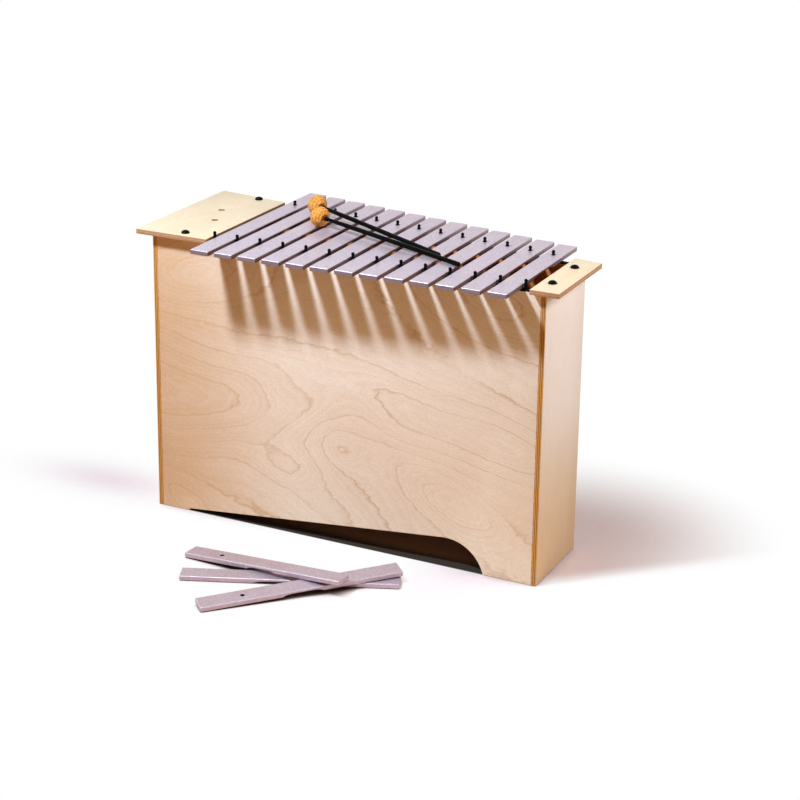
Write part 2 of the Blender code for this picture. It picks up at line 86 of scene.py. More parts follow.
class Graph:
    """A node tree being laid out, with short calls for the nodes that the finishes need."""

    def __init__(self, tree: bpy.types.NodeTree) -> None:
        """Takes hold of a tree.

        Args:
            tree: The material's or the group's node tree.
        """
        self.tree = tree

    def feed(self, socket: Socket, value: Value) -> None:
        """Links a socket, or sets its plain value.

        Args:
            socket: The input.
            value: Another node's output, a number, or the numbers of a vector or colour.
        """
        if isinstance(value, bpy.types.NodeSocket):
            self.tree.links.new(value, socket)
        elif isinstance(value, (int, float)):
            socket.default_value = float(value)
        else:
            wanted = len(socket.default_value)
            socket.default_value = (tuple(value) + (1.0,))[:wanted]

    def node(self, kind: str, **settings: object) -> bpy.types.Node:
        """Adds a node.

        Args:
            kind: Its type, without the common prefix.
            **settings: Properties to set on it.

        Returns:
            The node.
        """
        made = self.tree.nodes.new("ShaderNode" + kind)
        for key, value in settings.items():
            setattr(made, key, value)
        return made

    def math(self, operation: str, a: Value, b: Value = 0.0, c: Value = 0.0, clamp: bool = False) -> Socket:
        """Number arithmetic.

        Args:
            operation: The operation's name.
            a: First number.
            b: Second number, where the operation has one.
            c: Third number, where it has one.
            clamp: Whether the result is kept between 0 and 1.

        Returns:
            The result.
        """
        made = self.node("Math", operation=operation, use_clamp=clamp)
        for socket, given in zip(made.inputs, (a, b, c)):
            self.feed(socket, given)
        return made.outputs[0]

    def vector(self, operation: str, a: Value, b: Value = (0.0, 0.0, 0.0)) -> Socket:
        """Vector arithmetic.

        Args:
            operation: The operation's name.
            a: First vector.
            b: Second vector.

        Returns:
            The vector, or the number for a length or a dot product.
        """
        made = self.node("VectorMath", operation=operation)
        self.feed(made.inputs[0], a)
        self.feed(made.inputs[1], b)
        return made.outputs["Value" if operation in ("LENGTH", "DOT_PRODUCT") else "Vector"]

    def noise(self, place: Value, scale: float, detail: float = 2.0, rough: float = 0.5) -> Socket:
        """Smooth noise about 0.5.

        Args:
            place: Where it is read.
            scale: Features per metre.
            detail: Finer octaves.
            rough: How strong they are.

        Returns:
            The noise.
        """
        made = self.node("TexNoise")
        self.feed(made.inputs["Vector"], place)
        made.inputs["Scale"].default_value = scale
        made.inputs["Detail"].default_value = detail
        made.inputs["Roughness"].default_value = rough
        return made.outputs["Fac"]

    def remap(self, value: Value, low: Value, high: Value, first: float = 0.0, last: float = 1.0) -> Socket:
        """Carries a range onto another, smoothly, and stops at its ends.

        Args:
            value: The number.
            low: Where the range starts.
            high: Where it ends.
            first: Result at its start.
            last: Result at its end.

        Returns:
            The result.
        """
        made = self.node("MapRange", interpolation_type="SMOOTHSTEP")
        for name, given in zip(("Value", "From Min", "From Max", "To Min", "To Max"),
                               (value, low, high, first, last)):
            self.feed(made.inputs[name], given)
        return made.outputs["Result"]

    def mix(self, factor: Value, a: Value, b: Value, blend: str = "MIX") -> Socket:
        """Mixes two colours.

        Args:
            factor: Share of the second.
            a: First colour.
            b: Second colour.
            blend: How the second is laid over the first.

        Returns:
            The colour.
        """
        made = self.node("Mix", data_type="RGBA", blend_type=blend)
        self.feed(made.inputs[0], factor)
        self.feed(made.inputs[6], a)
        self.feed(made.inputs[7], b)
        return made.outputs[2]

    def place(self) -> Socket:
        """The point's own place, in metres."""
        return self.node("TexCoord").outputs["Object"]

    def attribute(self, name: str) -> Socket:
        """A number that the mesh carries at its points."""
        return self.node("Attribute", attribute_name=name).outputs["Fac"]

    def turn_axes(self, place: Socket, order: str) -> Socket:
        """A vector with its parts in another order.

        Args:
            place: The vector.
            order: Three letters of x, y and z.

        Returns:
            The reordered vector.
        """
        parts = self.node("SeparateXYZ")
        whole = self.node("CombineXYZ")
        self.feed(parts.inputs[0], place)
        for i, letter in enumerate(order):
            self.feed(whole.inputs[i], parts.outputs["xyz".index(letter)])
        return whole.outputs[0]

    def part(self, place: Socket, letter: str) -> Socket:
        """One part of a vector."""
        parts = self.node("SeparateXYZ")
        self.feed(parts.inputs[0], place)
        return parts.outputs["xyz".index(letter)]

    def spread(self, value: Socket) -> Socket:
        """A vector whose three parts are the same number."""
        whole = self.node("CombineXYZ")
        for socket in whole.inputs:
            self.feed(socket, value)
        return whole.outputs[0]

    def bump(self, height: Socket, reach: float, strength: float = 1.0) -> Socket:
        """A normal from a height.

        Args:
            height: The height, about 0 to 1.
            reach: What 1 stands for, in metres.
            strength: Share of the effect.

        Returns:
            The normal.
        """
        made = self.node("Bump")
        made.inputs["Distance"].default_value = reach
        made.inputs["Strength"].default_value = strength
        self.feed(made.inputs["Height"], height)
        return made.outputs["Normal"]

    def effect(self, tree: bpy.types.NodeTree, **values: Value) -> bpy.types.NodeOutputs:
        """Places a shared effect.

        Args:
            tree: The effect's group.
            **values: Its inputs by name, with underscores for spaces.

        Returns:
            The group's outputs.
        """
        made = self.node("Group", node_tree=tree)
        for key, value in values.items():
            self.feed(made.inputs[key.replace("_", " ").title()], value)
        return made.outputs


class EffectGroup(Graph):
    """A shared effect: a node group with named inputs and outputs."""

    def __init__(self, name: str, inputs: dict[str, Union[float, Colour]], outputs: Iterable[str]) -> None:
        """Opens a new group.

        Args:
            name: The group's name.
            inputs: Names and plain values. Three numbers make a vector.
            outputs: Names of the numbers that it puts out.
        """
        tree = bpy.data.node_groups.new(name, "ShaderNodeTree")
        super().__init__(tree)
        for key, value in inputs.items():
            kind = "NodeSocketFloat" if isinstance(value, float) else "NodeSocketVector"
            made = tree.interface.new_socket(key, in_out="INPUT", socket_type=kind)
            made.default_value = value
        for key in outputs:
            tree.interface.new_socket(key, in_out="OUTPUT", socket_type="NodeSocketFloat")
        self.given = tree.nodes.new("NodeGroupInput").outputs
        self.result = tree.nodes.new("NodeGroupOutput").inputs


class Effects:
    """The shared effects, each built once."""

    def __init__(self) -> None:
        """Builds all groups."""
        self.hill = self._hill()
        self.rings = self._rings()
        self.fibre = self._fibre()
        self.plies = self._plies()
        self.wear = self._wear()
        self.speckle = self._speckle()
        self.smudge = self._smudge()

    @staticmethod
    def _hill() -> bpy.types.NodeTree:
        """A round or long hill in the veneer's ring count: height times e to the minus squared
        distance, where the distance counts in the hill's own reaches.

        Returns:
            The group.
        """
        group = EffectGroup(
            "figure_hill",
            {
                "Place": (0.0, 0.0, 0.0), "Centre": (0.0, 0.0, 0.0), "Shrink": (1.0, 1.0, 0.0),
                "Turn": 0.0, "Height": 1.0,
            },
            ["Rings"],
        )
        away = group.vector("SUBTRACT", group.given["Place"], group.given["Centre"])
        spin = group.node("VectorRotate", rotation_type="Z_AXIS")
        group.feed(spin.inputs["Vector"], away)
        group.feed(spin.inputs["Angle"], group.given["Turn"])
        scaled = group.vector("MULTIPLY", spin.outputs[0], group.given["Shrink"])
        squared = group.vector("DOT_PRODUCT", scaled, scaled)
        fall = group.math("EXPONENT", group.math("MULTIPLY", squared, -1.0))
        group.feed(group.result["Rings"], group.math("MULTIPLY", fall, group.given["Height"]))
        return group.tree

    @staticmethod
    def _rings() -> bpy.types.NodeTree:
        """Growth rings of a sliced veneer: a thin dark line at each whole count, crisp on its one
        side and fading on the other, and a slower swell between lines.

        Returns:
            The group.
        """
        group = EffectGroup("growth_rings", {"Count": 0.0, "Fade": 9.0, "Break": 0.5}, ["Line", "Swell"])
        rest = group.math("FRACT", group.given["Count"])
        falling = group.math("MULTIPLY", rest, group.math("MULTIPLY", group.given["Fade"], -1.0))
        fading = group.math("EXPONENT", falling)
        crisp = group.remap(rest, 0.93, 1.0)
        line = group.math("MAXIMUM", fading, crisp)
        whole = group.math("ROUND", group.given["Count"])
        chance = group.node("TexWhiteNoise", noise_dimensions="1D")
        group.feed(chance.inputs["W"], whole)
        share = group.remap(chance.outputs["Value"], 0.0, 1.0, 0.35, 1.0)
        shown = group.math("MULTIPLY", line, share)
        group.feed(group.result["Line"], group.math("MULTIPLY", shown, group.given["Break"]))
        wave = group.math("SINE", group.math("MULTIPLY", group.given["Count"], 2.0 * math.pi))
        group.feed(group.result["Swell"], group.math("MULTIPLY_ADD", wave, 0.5, 0.5))
        return group.tree

    @staticmethod
    def _fibre() -> bpy.types.NodeTree:
        """Fine streaks along the grain: noise read on a place that is stretched along it.

        Returns:
            The group.
        """
        group = EffectGroup("wood_fibre", {"Place": (0.0, 0.0, 0.0), "Stretch": (8.0, 260.0, 260.0)},
                            ["Streak", "Pore"])
        read = group.vector("MULTIPLY", group.given["Place"], group.given["Stretch"])
        group.feed(group.result["Streak"], group.noise(read, 1.0, 3.0, 0.6))
        pores = group.noise(group.vector("MULTIPLY", read, (4.0, 3.1, 3.1)), 1.0, 1.0)
        group.feed(group.result["Pore"], group.remap(pores, 0.66, 0.74))
        return group.tree

    @staticmethod
    def _plies() -> bpy.types.NodeTree:
        """Laminate seen on a cut edge: odd plies lie along and are pale, even plies show their end
        grain and are dark, with thin glue lines between, and the face veneers are burnt a little
        by the saw. Layer runs from 0 to 1 through the board, Rim is where the burnt part starts,
        counted from the middle.

        Returns:
            The group.
        """
        group = EffectGroup(
            "ply_layers", {"Layer": 0.5, "Place": (0.0, 0.0, 0.0), "Plies": 5.0, "Rim": 0.4},
            ["Edge", "Dark", "Glue", "Burnt"],
        )
        swing = group.math("SUBTRACT", group.noise(group.given["Place"], 34.0), 0.5)
        wobble = group.math("MULTIPLY", swing, 0.03)
        layer = group.math("ADD", group.given["Layer"], wobble)
        across = group.math("MULTIPLY", layer, group.given["Plies"])
        odd = group.math("PINGPONG", group.math("SUBTRACT", across, 0.5), 1.0)
        group.feed(group.result["Dark"], group.remap(odd, 0.38, 0.62))
        near = group.math("PINGPONG", across, 0.5)
        group.feed(group.result["Glue"], group.remap(near, 0.0, 0.07, 1.0, 0.0))
        middle = group.math("ABSOLUTE", group.math("SUBTRACT", layer, 0.5))
        past_rim = group.math("SUBTRACT", middle, group.given["Rim"])
        group.feed(group.result["Burnt"], group.remap(past_rim, -0.02, 0.03))
        middle = group.math("ABSOLUTE", group.math("SUBTRACT", group.given["Layer"], 0.5))
        group.feed(group.result["Edge"], group.remap(middle, 0.47, 0.485, 1.0, 0.0))
        return group.tree

    @staticmethod
    def _wear() -> bpy.types.NodeTree:
        """Rubbed edges: the mesh's nearness to an edge, broken up by noise.

        Returns:
            The group.
        """
        group = EffectGroup("edge_wear", {"Edge": 0.0, "Place": (0.0, 0.0, 0.0), "Amount": 0.5}, ["Worn"])
        chips = group.noise(group.given["Place"], 130.0, 4.0, 0.65)
        level = group.math("MULTIPLY", group.given["Edge"], group.remap(chips, 0.42, 0.62))
        group.feed(group.result["Worn"], group.math("MULTIPLY", level, group.given["Amount"], clamp=True))
        return group.tree

    @staticmethod
    def _speckle() -> bpy.types.NodeTree:
        """Fine grainy lacquer: tiny cells of varied lightness and height over a slow mottle.

        Returns:
            The group.
        """
        group = EffectGroup("lacquer_speckle", {"Place": (0.0, 0.0, 0.0), "Grains": 900.0},
                            ["Grain", "Height", "Mottle"])
        cells = group.node("TexVoronoi", feature="F1")
        group.feed(cells.inputs["Vector"], group.given["Place"])
        group.feed(cells.inputs["Scale"], group.given["Grains"])
        shade = group.node("SeparateXYZ")
        group.feed(shade.inputs[0], cells.outputs["Color"])
        group.feed(group.result["Grain"], shade.outputs[0])
        group.feed(group.result["Height"], group.math("SUBTRACT", 1.0, cells.outputs["Distance"], clamp=True))
        group.feed(group.result["Mottle"], group.noise(group.given["Place"], 22.0, 3.0))
        return group.tree

    @staticmethod
    def _smudge() -> bpy.types.NodeTree:
        """Handling marks: broad soft patches and thin rubbed streaks.

        Returns:
            The group.
        """
        group = EffectGroup("handling_smudge", {"Place": (0.0, 0.0, 0.0), "Size": 12.0}, ["Smudge"])
        read = group.vector("MULTIPLY", group.given["Place"], (1.0, 0.55, 0.8))
        broad = group.node("TexNoise")
        group.feed(broad.inputs["Vector"], read)
        group.feed(broad.inputs["Scale"], group.given["Size"])
        broad.inputs["Detail"].default_value = 5.0
        broad.inputs["Distortion"].default_value = 0.6
        group.feed(group.result["Smudge"], group.remap(broad.outputs["Fac"], 0.4, 0.66))
        return group.tree


# Finishes


class Grain(Enum):
    """Which way a veneer's grain runs, as the order that puts that axis first, the other sheet
    axis second and the thickness last."""

    ALONG_BOX = "xzy"
    UPRIGHT = "zyx"
    FRONT_TO_BACK = "yxz"
    BOARD_ALONG_BOX = "xyz"


@dataclass(frozen=True)
class Hill:
    """A hill or hollow in the veneer's ring count, which draws closed loops or pointed arches.

    Attributes:
        centre: Its middle on the sheet, along and across the grain, in metres.
        reach: How far it reaches along and across its own axes, in metres.
        turn: Its turn, in degrees.
        rings: How many rings high it is.
    """

    centre: tuple[float, float]
    reach: tuple[float, float]
    turn: float
    rings: float


@dataclass(frozen=True)
class Birch:
    """Clear-lacquered birch plywood: sliced veneer on the faces, laminate on the cut edges.

    Attributes:
        name: Material name.
        grain: Which way the face's grain runs.
        pale: The veneer's ground colour, linear.
        tan: Its warmer patches.
        line: Its ring lines.
        hills: The figure's hills.
        first_ring: Ring count at the sheet's origin.
        ring_gap: Distance between rings where no hill bends them, in metres.
        ring_slope: How far the rings lean, as a share of the way along the grain.
        warp: How far slow noise bends the rings, in rings.
        fray: How far quick noise does.
        line_strength: How much of the line colour shows on the main lines.
        fine_strength: The same on the four finer lines between them.
        warm_from: Where the warm tint starts along the grain, in metres.
        warm_to: Where it is gone.
        warm_share: How much of it shows.
        patch_share: How much slow patches of it show.
        streak_length: Fine streaks a metre along the grain.
        streak_depth: How much lighter and darker the streaks are.
        inner: Painted shade on the face inside the box, with an orange tone: what its colour is multiplied
            by.
        ply_count: How many plies the cut edge shows.
        edge_pale: Colour of the plies that run along the cut.
        edge_dark: Colour of the plies that show end grain.
        glue: Colour of the glue lines.
        burnt: Colour of the face veneers on the cut.
        rim: Where they start, from the middle, as a share of the thickness.
        rough: Roughness.
        gloss: Strength of the mirror-like reflection.
        coat: Weight of the clear lacquer.
    """

    name: str
    grain: Grain
    pale: Colour
    tan: Colour
    line: Colour
    hills: tuple[Hill, ...] = ()
    first_ring: float = 0.0
    ring_gap: float = 0.020
    ring_slope: float = 0.0
    warp: float = 3.2
    fray: float = 0.28
    line_strength: float = 0.5
    fine_strength: float = 0.0
    warm_from: float = 0.0
    warm_to: float = 1.0
    warm_share: float = 0.0
    patch_share: float = 0.3
    streak_length: float = 60.0
    streak_depth: float = 0.06
    inner: Colour = (0.76, 0.29, 0.075)
    ply_count: float = 5.0
    edge_pale: Colour = (0.66, 0.33, 0.09)
    edge_dark: Colour = (0.22, 0.085, 0.025)
    glue: Colour = (0.13, 0.05, 0.015)
    burnt: Colour = (0.72, 0.34, 0.075)
    rim: float = 0.26
    rough: float = 0.42
    gloss: float = 0.25
    coat: float = 0.05

    def build(self, effects: Effects) -> bpy.types.Material:
        """Makes the material.

        Args:
            effects: The shared effects.

        Returns:
            The material.
        """
        made = bpy.data.materials.new(self.name)
        made.use_nodes = True
        graph = Graph(made.node_tree)
        shader = made.node_tree.nodes["Principled BSDF"]
        place = graph.place()
        sheet = graph.turn_axes(place, self.grain.value)

        count = self._ring_count(graph, effects, sheet)
        gaps = graph.noise(graph.vector("MULTIPLY", sheet, (3.0, 9.0, 3.0)), 1.0, 2.0)
        gaps = graph.remap(gaps, 0.30, 0.52)
        rings = graph.effect(effects.rings, count=count, fade=30.0, **{"break": gaps})
        between = graph.math("MULTIPLY", count, 4.0)
        fine = graph.effect(effects.rings, count=between, fade=10.0, **{"break": gaps})
        fibre = graph.effect(effects.fibre, place=sheet, stretch=(self.streak_length, 520.0, 120.0))
        flame = graph.effect(effects.fibre, place=sheet, stretch=(self.streak_length / 5, 70.0, 20.0))

        patches = graph.noise(graph.vector("MULTIPLY", sheet, (2.2, 6.0, 2.0)), 1.0, 3.0)
        patches = graph.remap(patches, 0.36, 0.68)
        warm = graph.remap(graph.part(sheet, "x"), self.warm_from, self.warm_to, 1.0, 0.0)
        patchy = graph.math("MULTIPLY", patches, self.patch_share)
        tint = graph.math("MULTIPLY_ADD", warm, self.warm_share, patchy, clamp=True)
        tint = graph.math("MULTIPLY_ADD", rings["Swell"], 0.06, tint, clamp=True)
        tint = graph.math("MULTIPLY_ADD", fine["Swell"], 0.06, tint, clamp=True)
        ground = graph.mix(tint, self.pale, self.tan)
        lined = graph.mix(graph.math("MULTIPLY", fine["Line"], self.fine_strength), ground, self.line)
        lined = graph.mix(graph.math("MULTIPLY", rings["Line"], self.line_strength), lined, self.line)
        lower, upper = 1.0 - self.streak_depth, 1.0 + 0.7 * self.streak_depth
        streaks = graph.remap(fibre["Streak"], 0.30, 0.72, lower, upper)
        flames = graph.remap(flame["Streak"], 0.30, 0.70, 1.0 - 0.4 * self.streak_depth, 1.0)
        grained = graph.vector("MULTIPLY", lined, graph.spread(graph.math("MULTIPLY", streaks, flames)))
        pored = graph.mix(graph.math("MULTIPLY", fibre["Pore"], 0.12), grained, self.line)
        # Painted shade: the face inside the box is darkened.
        hidden = graph.remap(graph.attribute("inside"), 0.985, 0.995)
        pored = graph.mix(hidden, pored, self.inner, "MULTIPLY")

        layer = graph.attribute("layer")
        plies = graph.effect(effects.plies, layer=layer, place=place, plies=self.ply_count, rim=self.rim)
        ends = graph.noise(graph.vector("MULTIPLY", place, (420.0, 420.0, 420.0)), 1.0, 2.0)
        dark = graph.math("MULTIPLY", plies["Dark"], graph.remap(ends, 0.3, 0.7, 0.75, 1.0))
        edge = graph.mix(dark, self.edge_pale, self.edge_dark)
        edge = graph.mix(graph.math("MULTIPLY", plies["Glue"], 0.7), edge, self.glue)
        edge = graph.mix(plies["Burnt"], edge, self.burnt)
        colour = graph.mix(plies["Edge"], pored, edge)
        worn = graph.effect(effects.wear, edge=graph.attribute("edge"), place=place, amount=0.5)["Worn"]
        colour = graph.mix(worn, colour, self.edge_dark)

        smudge = graph.effect(effects.smudge, place=place, size=7.0)["Smudge"]
        rough = graph.math("ADD", graph.math("MULTIPLY", smudge, 0.10), self.rough - 0.03)
        rough = graph.math("ADD", rough, graph.math("MULTIPLY", plies["Edge"], 0.22))
        grooves = graph.math("MULTIPLY", graph.math("MULTIPLY", plies["Dark"], plies["Edge"]), -1.2)
        height = graph.math("MULTIPLY_ADD", fibre["Pore"], -0.8, grooves)
        height = graph.math("MULTIPLY_ADD", fibre["Streak"], 0.6, height)
        graph.feed(shader.inputs["Base Color"], colour)
        graph.feed(shader.inputs["Roughness"], rough)
        graph.feed(shader.inputs["Normal"], graph.bump(height, 0.00012, 0.6))
        shader.inputs["Specular IOR Level"].default_value = self.gloss
        shader.inputs["Coat Weight"].default_value = self.coat
        shader.inputs["Coat Roughness"].default_value = 0.28
        return made

    def _ring_count(self, graph: Graph, effects: Effects, sheet: Socket) -> Socket:
        """The ring count on the sheet: the place across the grain over the gap, leaning along
        the grain, with the hills and a noise added.

        Args:
            graph: The material's graph.
            effects: The shared effects.
            sheet: Place on the sheet.

        Returns:
            The count.
        """
        per_metre = (self.ring_slope / self.ring_gap, 1.0 / self.ring_gap, 0.0)
        slope = graph.vector("DOT_PRODUCT", sheet, per_metre)
        slow = graph.noise(graph.vector("MULTIPLY", sheet, (5.0, 9.0, 1.0)), 1.0, 2.0, 0.55)
        fine = graph.noise(graph.vector("MULTIPLY", sheet, (46.0, 80.0, 1.0)), 1.0, 2.0, 0.5)
        count = graph.math("ADD", slope, self.first_ring - 0.5 * (self.warp + self.fray))
        count = graph.math("MULTIPLY_ADD", slow, self.warp, count)
        count = graph.math("MULTIPLY_ADD", fine, self.fray, count)
        for hill in self.hills:
            shrink = (1.0 / hill.reach[0], 1.0 / hill.reach[1], 0.0)
            raised = graph.effect(
                effects.hill, place=sheet, centre=(*hill.centre, 0.0), shrink=shrink,
                turn=-math.radians(hill.turn), height=hill.rings,
            )["Rings"]
            count = graph.math("ADD", count, raised)
        return count


@dataclass(frozen=True)
class BarLacquer:
    """Fine-textured silver-lilac lacquer on aluminium.

    Attributes:
        name: Material name.
        colour: Base colour, linear.
        shade: The darker grains and handled patches.
        bright: Colour of the rubbed edges, which is also a painted highlight along them.
        side: Painted shade on the sides and ends where they lie between the bars: what their colour is
        multiplied by.
        bore: Painted shade inside the pin hole.
        rough: Roughness.
        metallic: How metallic the flakes are.
    """

    name: str = "bar_paint"
    colour: Colour = (0.58, 0.48, 0.54)
    shade: Colour = (0.33, 0.25, 0.28)
    bright: Colour = (0.84, 0.76, 0.80)
    side: Colour = (0.34, 0.26, 0.25)
    bore: Colour = (0.05, 0.04, 0.04)
    rough: float = 0.40
    metallic: float = 0.60

    def build(self, effects: Effects) -> bpy.types.Material:
        """Makes the material.

        Args:
            effects: The shared effects.

        Returns:
            The material.
        """
        made = bpy.data.materials.new(self.name)
        made.use_nodes = True
        graph = Graph(made.node_tree)
        shader = made.node_tree.nodes["Principled BSDF"]
        place = graph.place()
        fine = graph.effect(effects.speckle, place=place, grains=1100.0)
        coarse = graph.effect(effects.speckle, place=place, grains=420.0)
        grain = graph.remap(fine["Grain"], 0.0, 1.0, 0.0, 0.50)
        base = graph.mix(grain, self.colour, self.shade)
        base = graph.mix(graph.remap(coarse["Grain"], 0.70, 1.0, 0.0, 0.32), base, self.bright)
        base = graph.mix(graph.remap(coarse["Mottle"], 0.40, 0.70, 0.0, 0.08), base, self.shade)
        # Painted shade on the sides and ends between the bars.
        base = graph.mix(graph.attribute("side"), base, self.side, "MULTIPLY")
        # The edges turn lighter: partly wear, partly a painted highlight.
        worn = graph.effect(effects.wear, edge=graph.attribute("edge"), place=place, amount=0.9)["Worn"]
        base = graph.mix(worn, base, self.bright)
        # Painted shade inside the pin hole.
        base = graph.mix(graph.attribute("bore"), base, self.bore)
        smudge = graph.effect(effects.smudge, place=place, size=18.0)["Smudge"]
        base = graph.mix(graph.math("MULTIPLY", smudge, 0.12), base, self.shade)
        rough = graph.math("ADD", graph.math("MULTIPLY", smudge, 0.14), self.rough)
        rough = graph.math("ADD", rough, graph.math("MULTIPLY", worn, 0.12))
        graph.feed(shader.inputs["Base Color"], base)
        graph.feed(shader.inputs["Roughness"], rough)
        graph.feed(shader.inputs["Metallic"], graph.math("MULTIPLY_ADD", worn, -0.3, self.metallic))
        graph.feed(shader.inputs["Normal"], graph.bump(fine["Height"], 0.00012, 0.5))
        return made


@dataclass(frozen=True)
class BlackFinish:
    """Black rubber, pin sleeve or polished black, with dust and handling marks.

    Attributes:
        name: Material name.
        colour: Base colour, linear.
        dust: Colour of the dust.
        rough: Roughness.
        gloss: Strength of the mirror-like reflection.
        grains: Texture cells per metre.
        relief: Height of the texture, in metres.
        coat: Weight of the clear coat.
        dusting: How much dust shows.
    """

    name: str
    colour: Colour
    dust: Colour
    rough: float
    gloss: float
    grains: float
    relief: float
    coat: float
    dusting: float

    def build(self, effects: Effects) -> bpy.types.Material:
        """Makes the material.

        Args:
            effects: The shared effects.

        Returns:
            The material.
        """
        made = bpy.data.materials.new(self.name)
        made.use_nodes = True
        graph = Graph(made.node_tree)
        shader = made.node_tree.nodes["Principled BSDF"]
        place = graph.place()
        grain = graph.effect(effects.speckle, place=place, grains=self.grains)
        smudge = graph.effect(effects.smudge, place=place, size=45.0)["Smudge"]
        dusty = graph.math("MULTIPLY", graph.math("MULTIPLY", smudge, grain["Grain"]), self.dusting)
        worn = graph.effect(effects.wear, edge=graph.attribute("edge"), place=place, amount=0.4)["Worn"]
        colour = graph.mix(dusty, self.colour, self.dust)
        graph.feed(shader.inputs["Base Color"], graph.mix(worn, colour, self.dust))
        rough = graph.math("ADD", graph.math("MULTIPLY", smudge, 0.12), self.rough)
        graph.feed(shader.inputs["Roughness"], rough)
        graph.feed(shader.inputs["Normal"], graph.bump(grain["Height"], self.relief, 0.5))
        shader.inputs["Specular IOR Level"].default_value = self.gloss
        shader.inputs["Coat Weight"].default_value = self.coat
        shader.inputs["Coat Roughness"].default_value = 0.08
        return made


@dataclass(frozen=True)
class Yarn:
    """Wool yarn: plies twisted round the strand, darker in the grooves, with a slight fuzz.

    Attributes:
        name: Material name.
        colour: Colour on the strand's crown, linear.
        groove_shade_and_mottle: Painted shade between the plies, on the strand's turned-in sides
        and on the core, and the colour of the random dark mottle.
        pale: Colour of the loose fibres.
        twists: Plies that pass along one unit of the strand's length coordinate.
    """

    name: str = "orange_yarn"
    colour: Colour = (0.90, 0.34, 0.040)
    groove_shade_and_mottle: Colour = (0.22, 0.052, 0.004)
    pale: Colour = (0.98, 0.56, 0.14)
    twists: float = 1.0

    def build(self, effects: Effects) -> bpy.types.Material:
        """Makes the material.

        Args:
            effects: The shared effects.

        Returns:
            The material.
        """
        made = bpy.data.materials.new(self.name)
        made.use_nodes = True
        graph = Graph(made.node_tree)
        shader = made.node_tree.nodes["Principled BSDF"]
        strand = graph.node("UVMap", uv_map="strand").outputs["UV"]
        lean = graph.vector("DOT_PRODUCT", strand, (self.twists, 2.0, 0.0))
        ply = graph.math("ABSOLUTE", graph.math("SINE", graph.math("MULTIPLY", lean, math.pi)))
        place = graph.place()
        tuft = graph.noise(place, 1400.0, 3.0, 0.7)
        mottle = graph.noise(place, 380.0, 2.0, 0.6)
        crown = graph.math("MULTIPLY", ply, graph.remap(tuft, 0.3, 0.7, 0.7, 1.0))
        # Painted shade in the grooves between the plies.
        base = graph.mix(graph.remap(crown, 0.15, 0.75), self.groove_shade_and_mottle, self.colour)
        base = graph.mix(graph.remap(mottle, 0.50, 0.66, 0.0, 0.65), base, self.pale)
        base = graph.mix(graph.remap(mottle, 0.34, 0.46, 0.60, 0.0), base, self.groove_shade_and_mottle)
        base = graph.mix(graph.remap(tuft, 0.62, 0.74, 0.0, 0.35), base, self.pale)
        # Painted shade on the strand's turned-in sides and on the core between the wraps.
        deep = graph.attribute("edge")
        base = graph.mix(graph.remap(deep, 0.10, 0.70, 0.0, 0.92), base, self.groove_shade_and_mottle)
        graph.feed(shader.inputs["Base Color"], base)
        graph.feed(shader.inputs["Roughness"], graph.remap(tuft, 0.3, 0.7, 0.82, 0.98))
        height = graph.math("ADD", ply, graph.math("MULTIPLY", tuft, 0.5))
        graph.feed(shader.inputs["Normal"], graph.bump(height, 0.0003, 0.7))
        shader.inputs["Sheen Weight"].default_value = 0.08
        shader.inputs["Sheen Roughness"].default_value = 0.5
        return made


# Meshes


def unit(vectors: np.ndarray) -> np.ndarray:
    """Vectors of length one.

    Args:
        vectors: Vectors along the last axis.

    Returns:
        The same directions.
    """
    return vectors / np.linalg.norm(vectors, axis=-1, keepdims=True)


def mesh_points(mesh: bpy.types.Mesh) -> np.ndarray:
    """Points of a mesh, one row each."""
    flat = np.empty(3 * len(mesh.vertices))
    mesh.vertices.foreach_get("co", flat)
    return flat.reshape(-1, 3)


@dataclass
class Cad:
    """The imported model, as the pieces' builders read it.

    Attributes:
        frame: The loaded frame.
    """

    frame: dict

    def points(self, name: str) -> np.ndarray:
        """Points of a CAD node's mesh, one row each."""
        return mesh_points(self.frame["nodes"][name].data)

    def faces(self, name: str) -> tuple[np.ndarray, np.ndarray]:
        """Normals and areas of a CAD node's faces.

        Args:
            name: The node.

        Returns:
            The normals, one row each, and the areas.
        """
        mesh = self.frame["nodes"][name].data
        normals, areas = np.empty(3 * len(mesh.polygons)), np.empty(len(mesh.polygons))
        mesh.polygons.foreach_get("normal", normals)
        mesh.polygons.foreach_get("area", areas)
        return normals.reshape(-1, 3), areas

    def main_direction(self, name: str, near: np.ndarray, across: bool) -> np.ndarray:
        """Normal of the largest flat side of a node, among those that face along a direction or
        across it.

        Args:
            name: The node.
            near: The direction.
            across: Whether the side faces across it rather than along it.

        Returns:
            The normal.
        """
        normals, areas = self.faces(name)
        lean = normals @ near
        fits = np.abs(lean) < 0.3 if across else lean > 0.5
        best = normals[fits][np.argmax(areas[fits])]
        same = (normals @ best) > 0.9995
        return unit((normals[same] * areas[same, None]).sum(axis=0))


def ring_faces(rows: int, columns: int, first: int = 0, closed: bool = False) -> np.ndarray:
    """Quads between rings of points, each ring closed on itself.

    Args:
        rows: How many rings.
        columns: Points on each.
        first: Number of the first point.
        closed: Whether the last ring joins the first.

    Returns:
        Four point numbers a row, turned so that they face outwards where the rings run
        anticlockwise seen from the last one.
    """
    last = rows if closed else rows - 1
    i, j = np.meshgrid(np.arange(last), np.arange(columns), indexing="ij")
    below, above, side = i * columns, ((i + 1) % rows) * columns, (j + 1) % columns
    quads = np.stack([below + j, below + side, above + side, above + j], axis=-1)
    return first + quads.reshape(-1, 4)


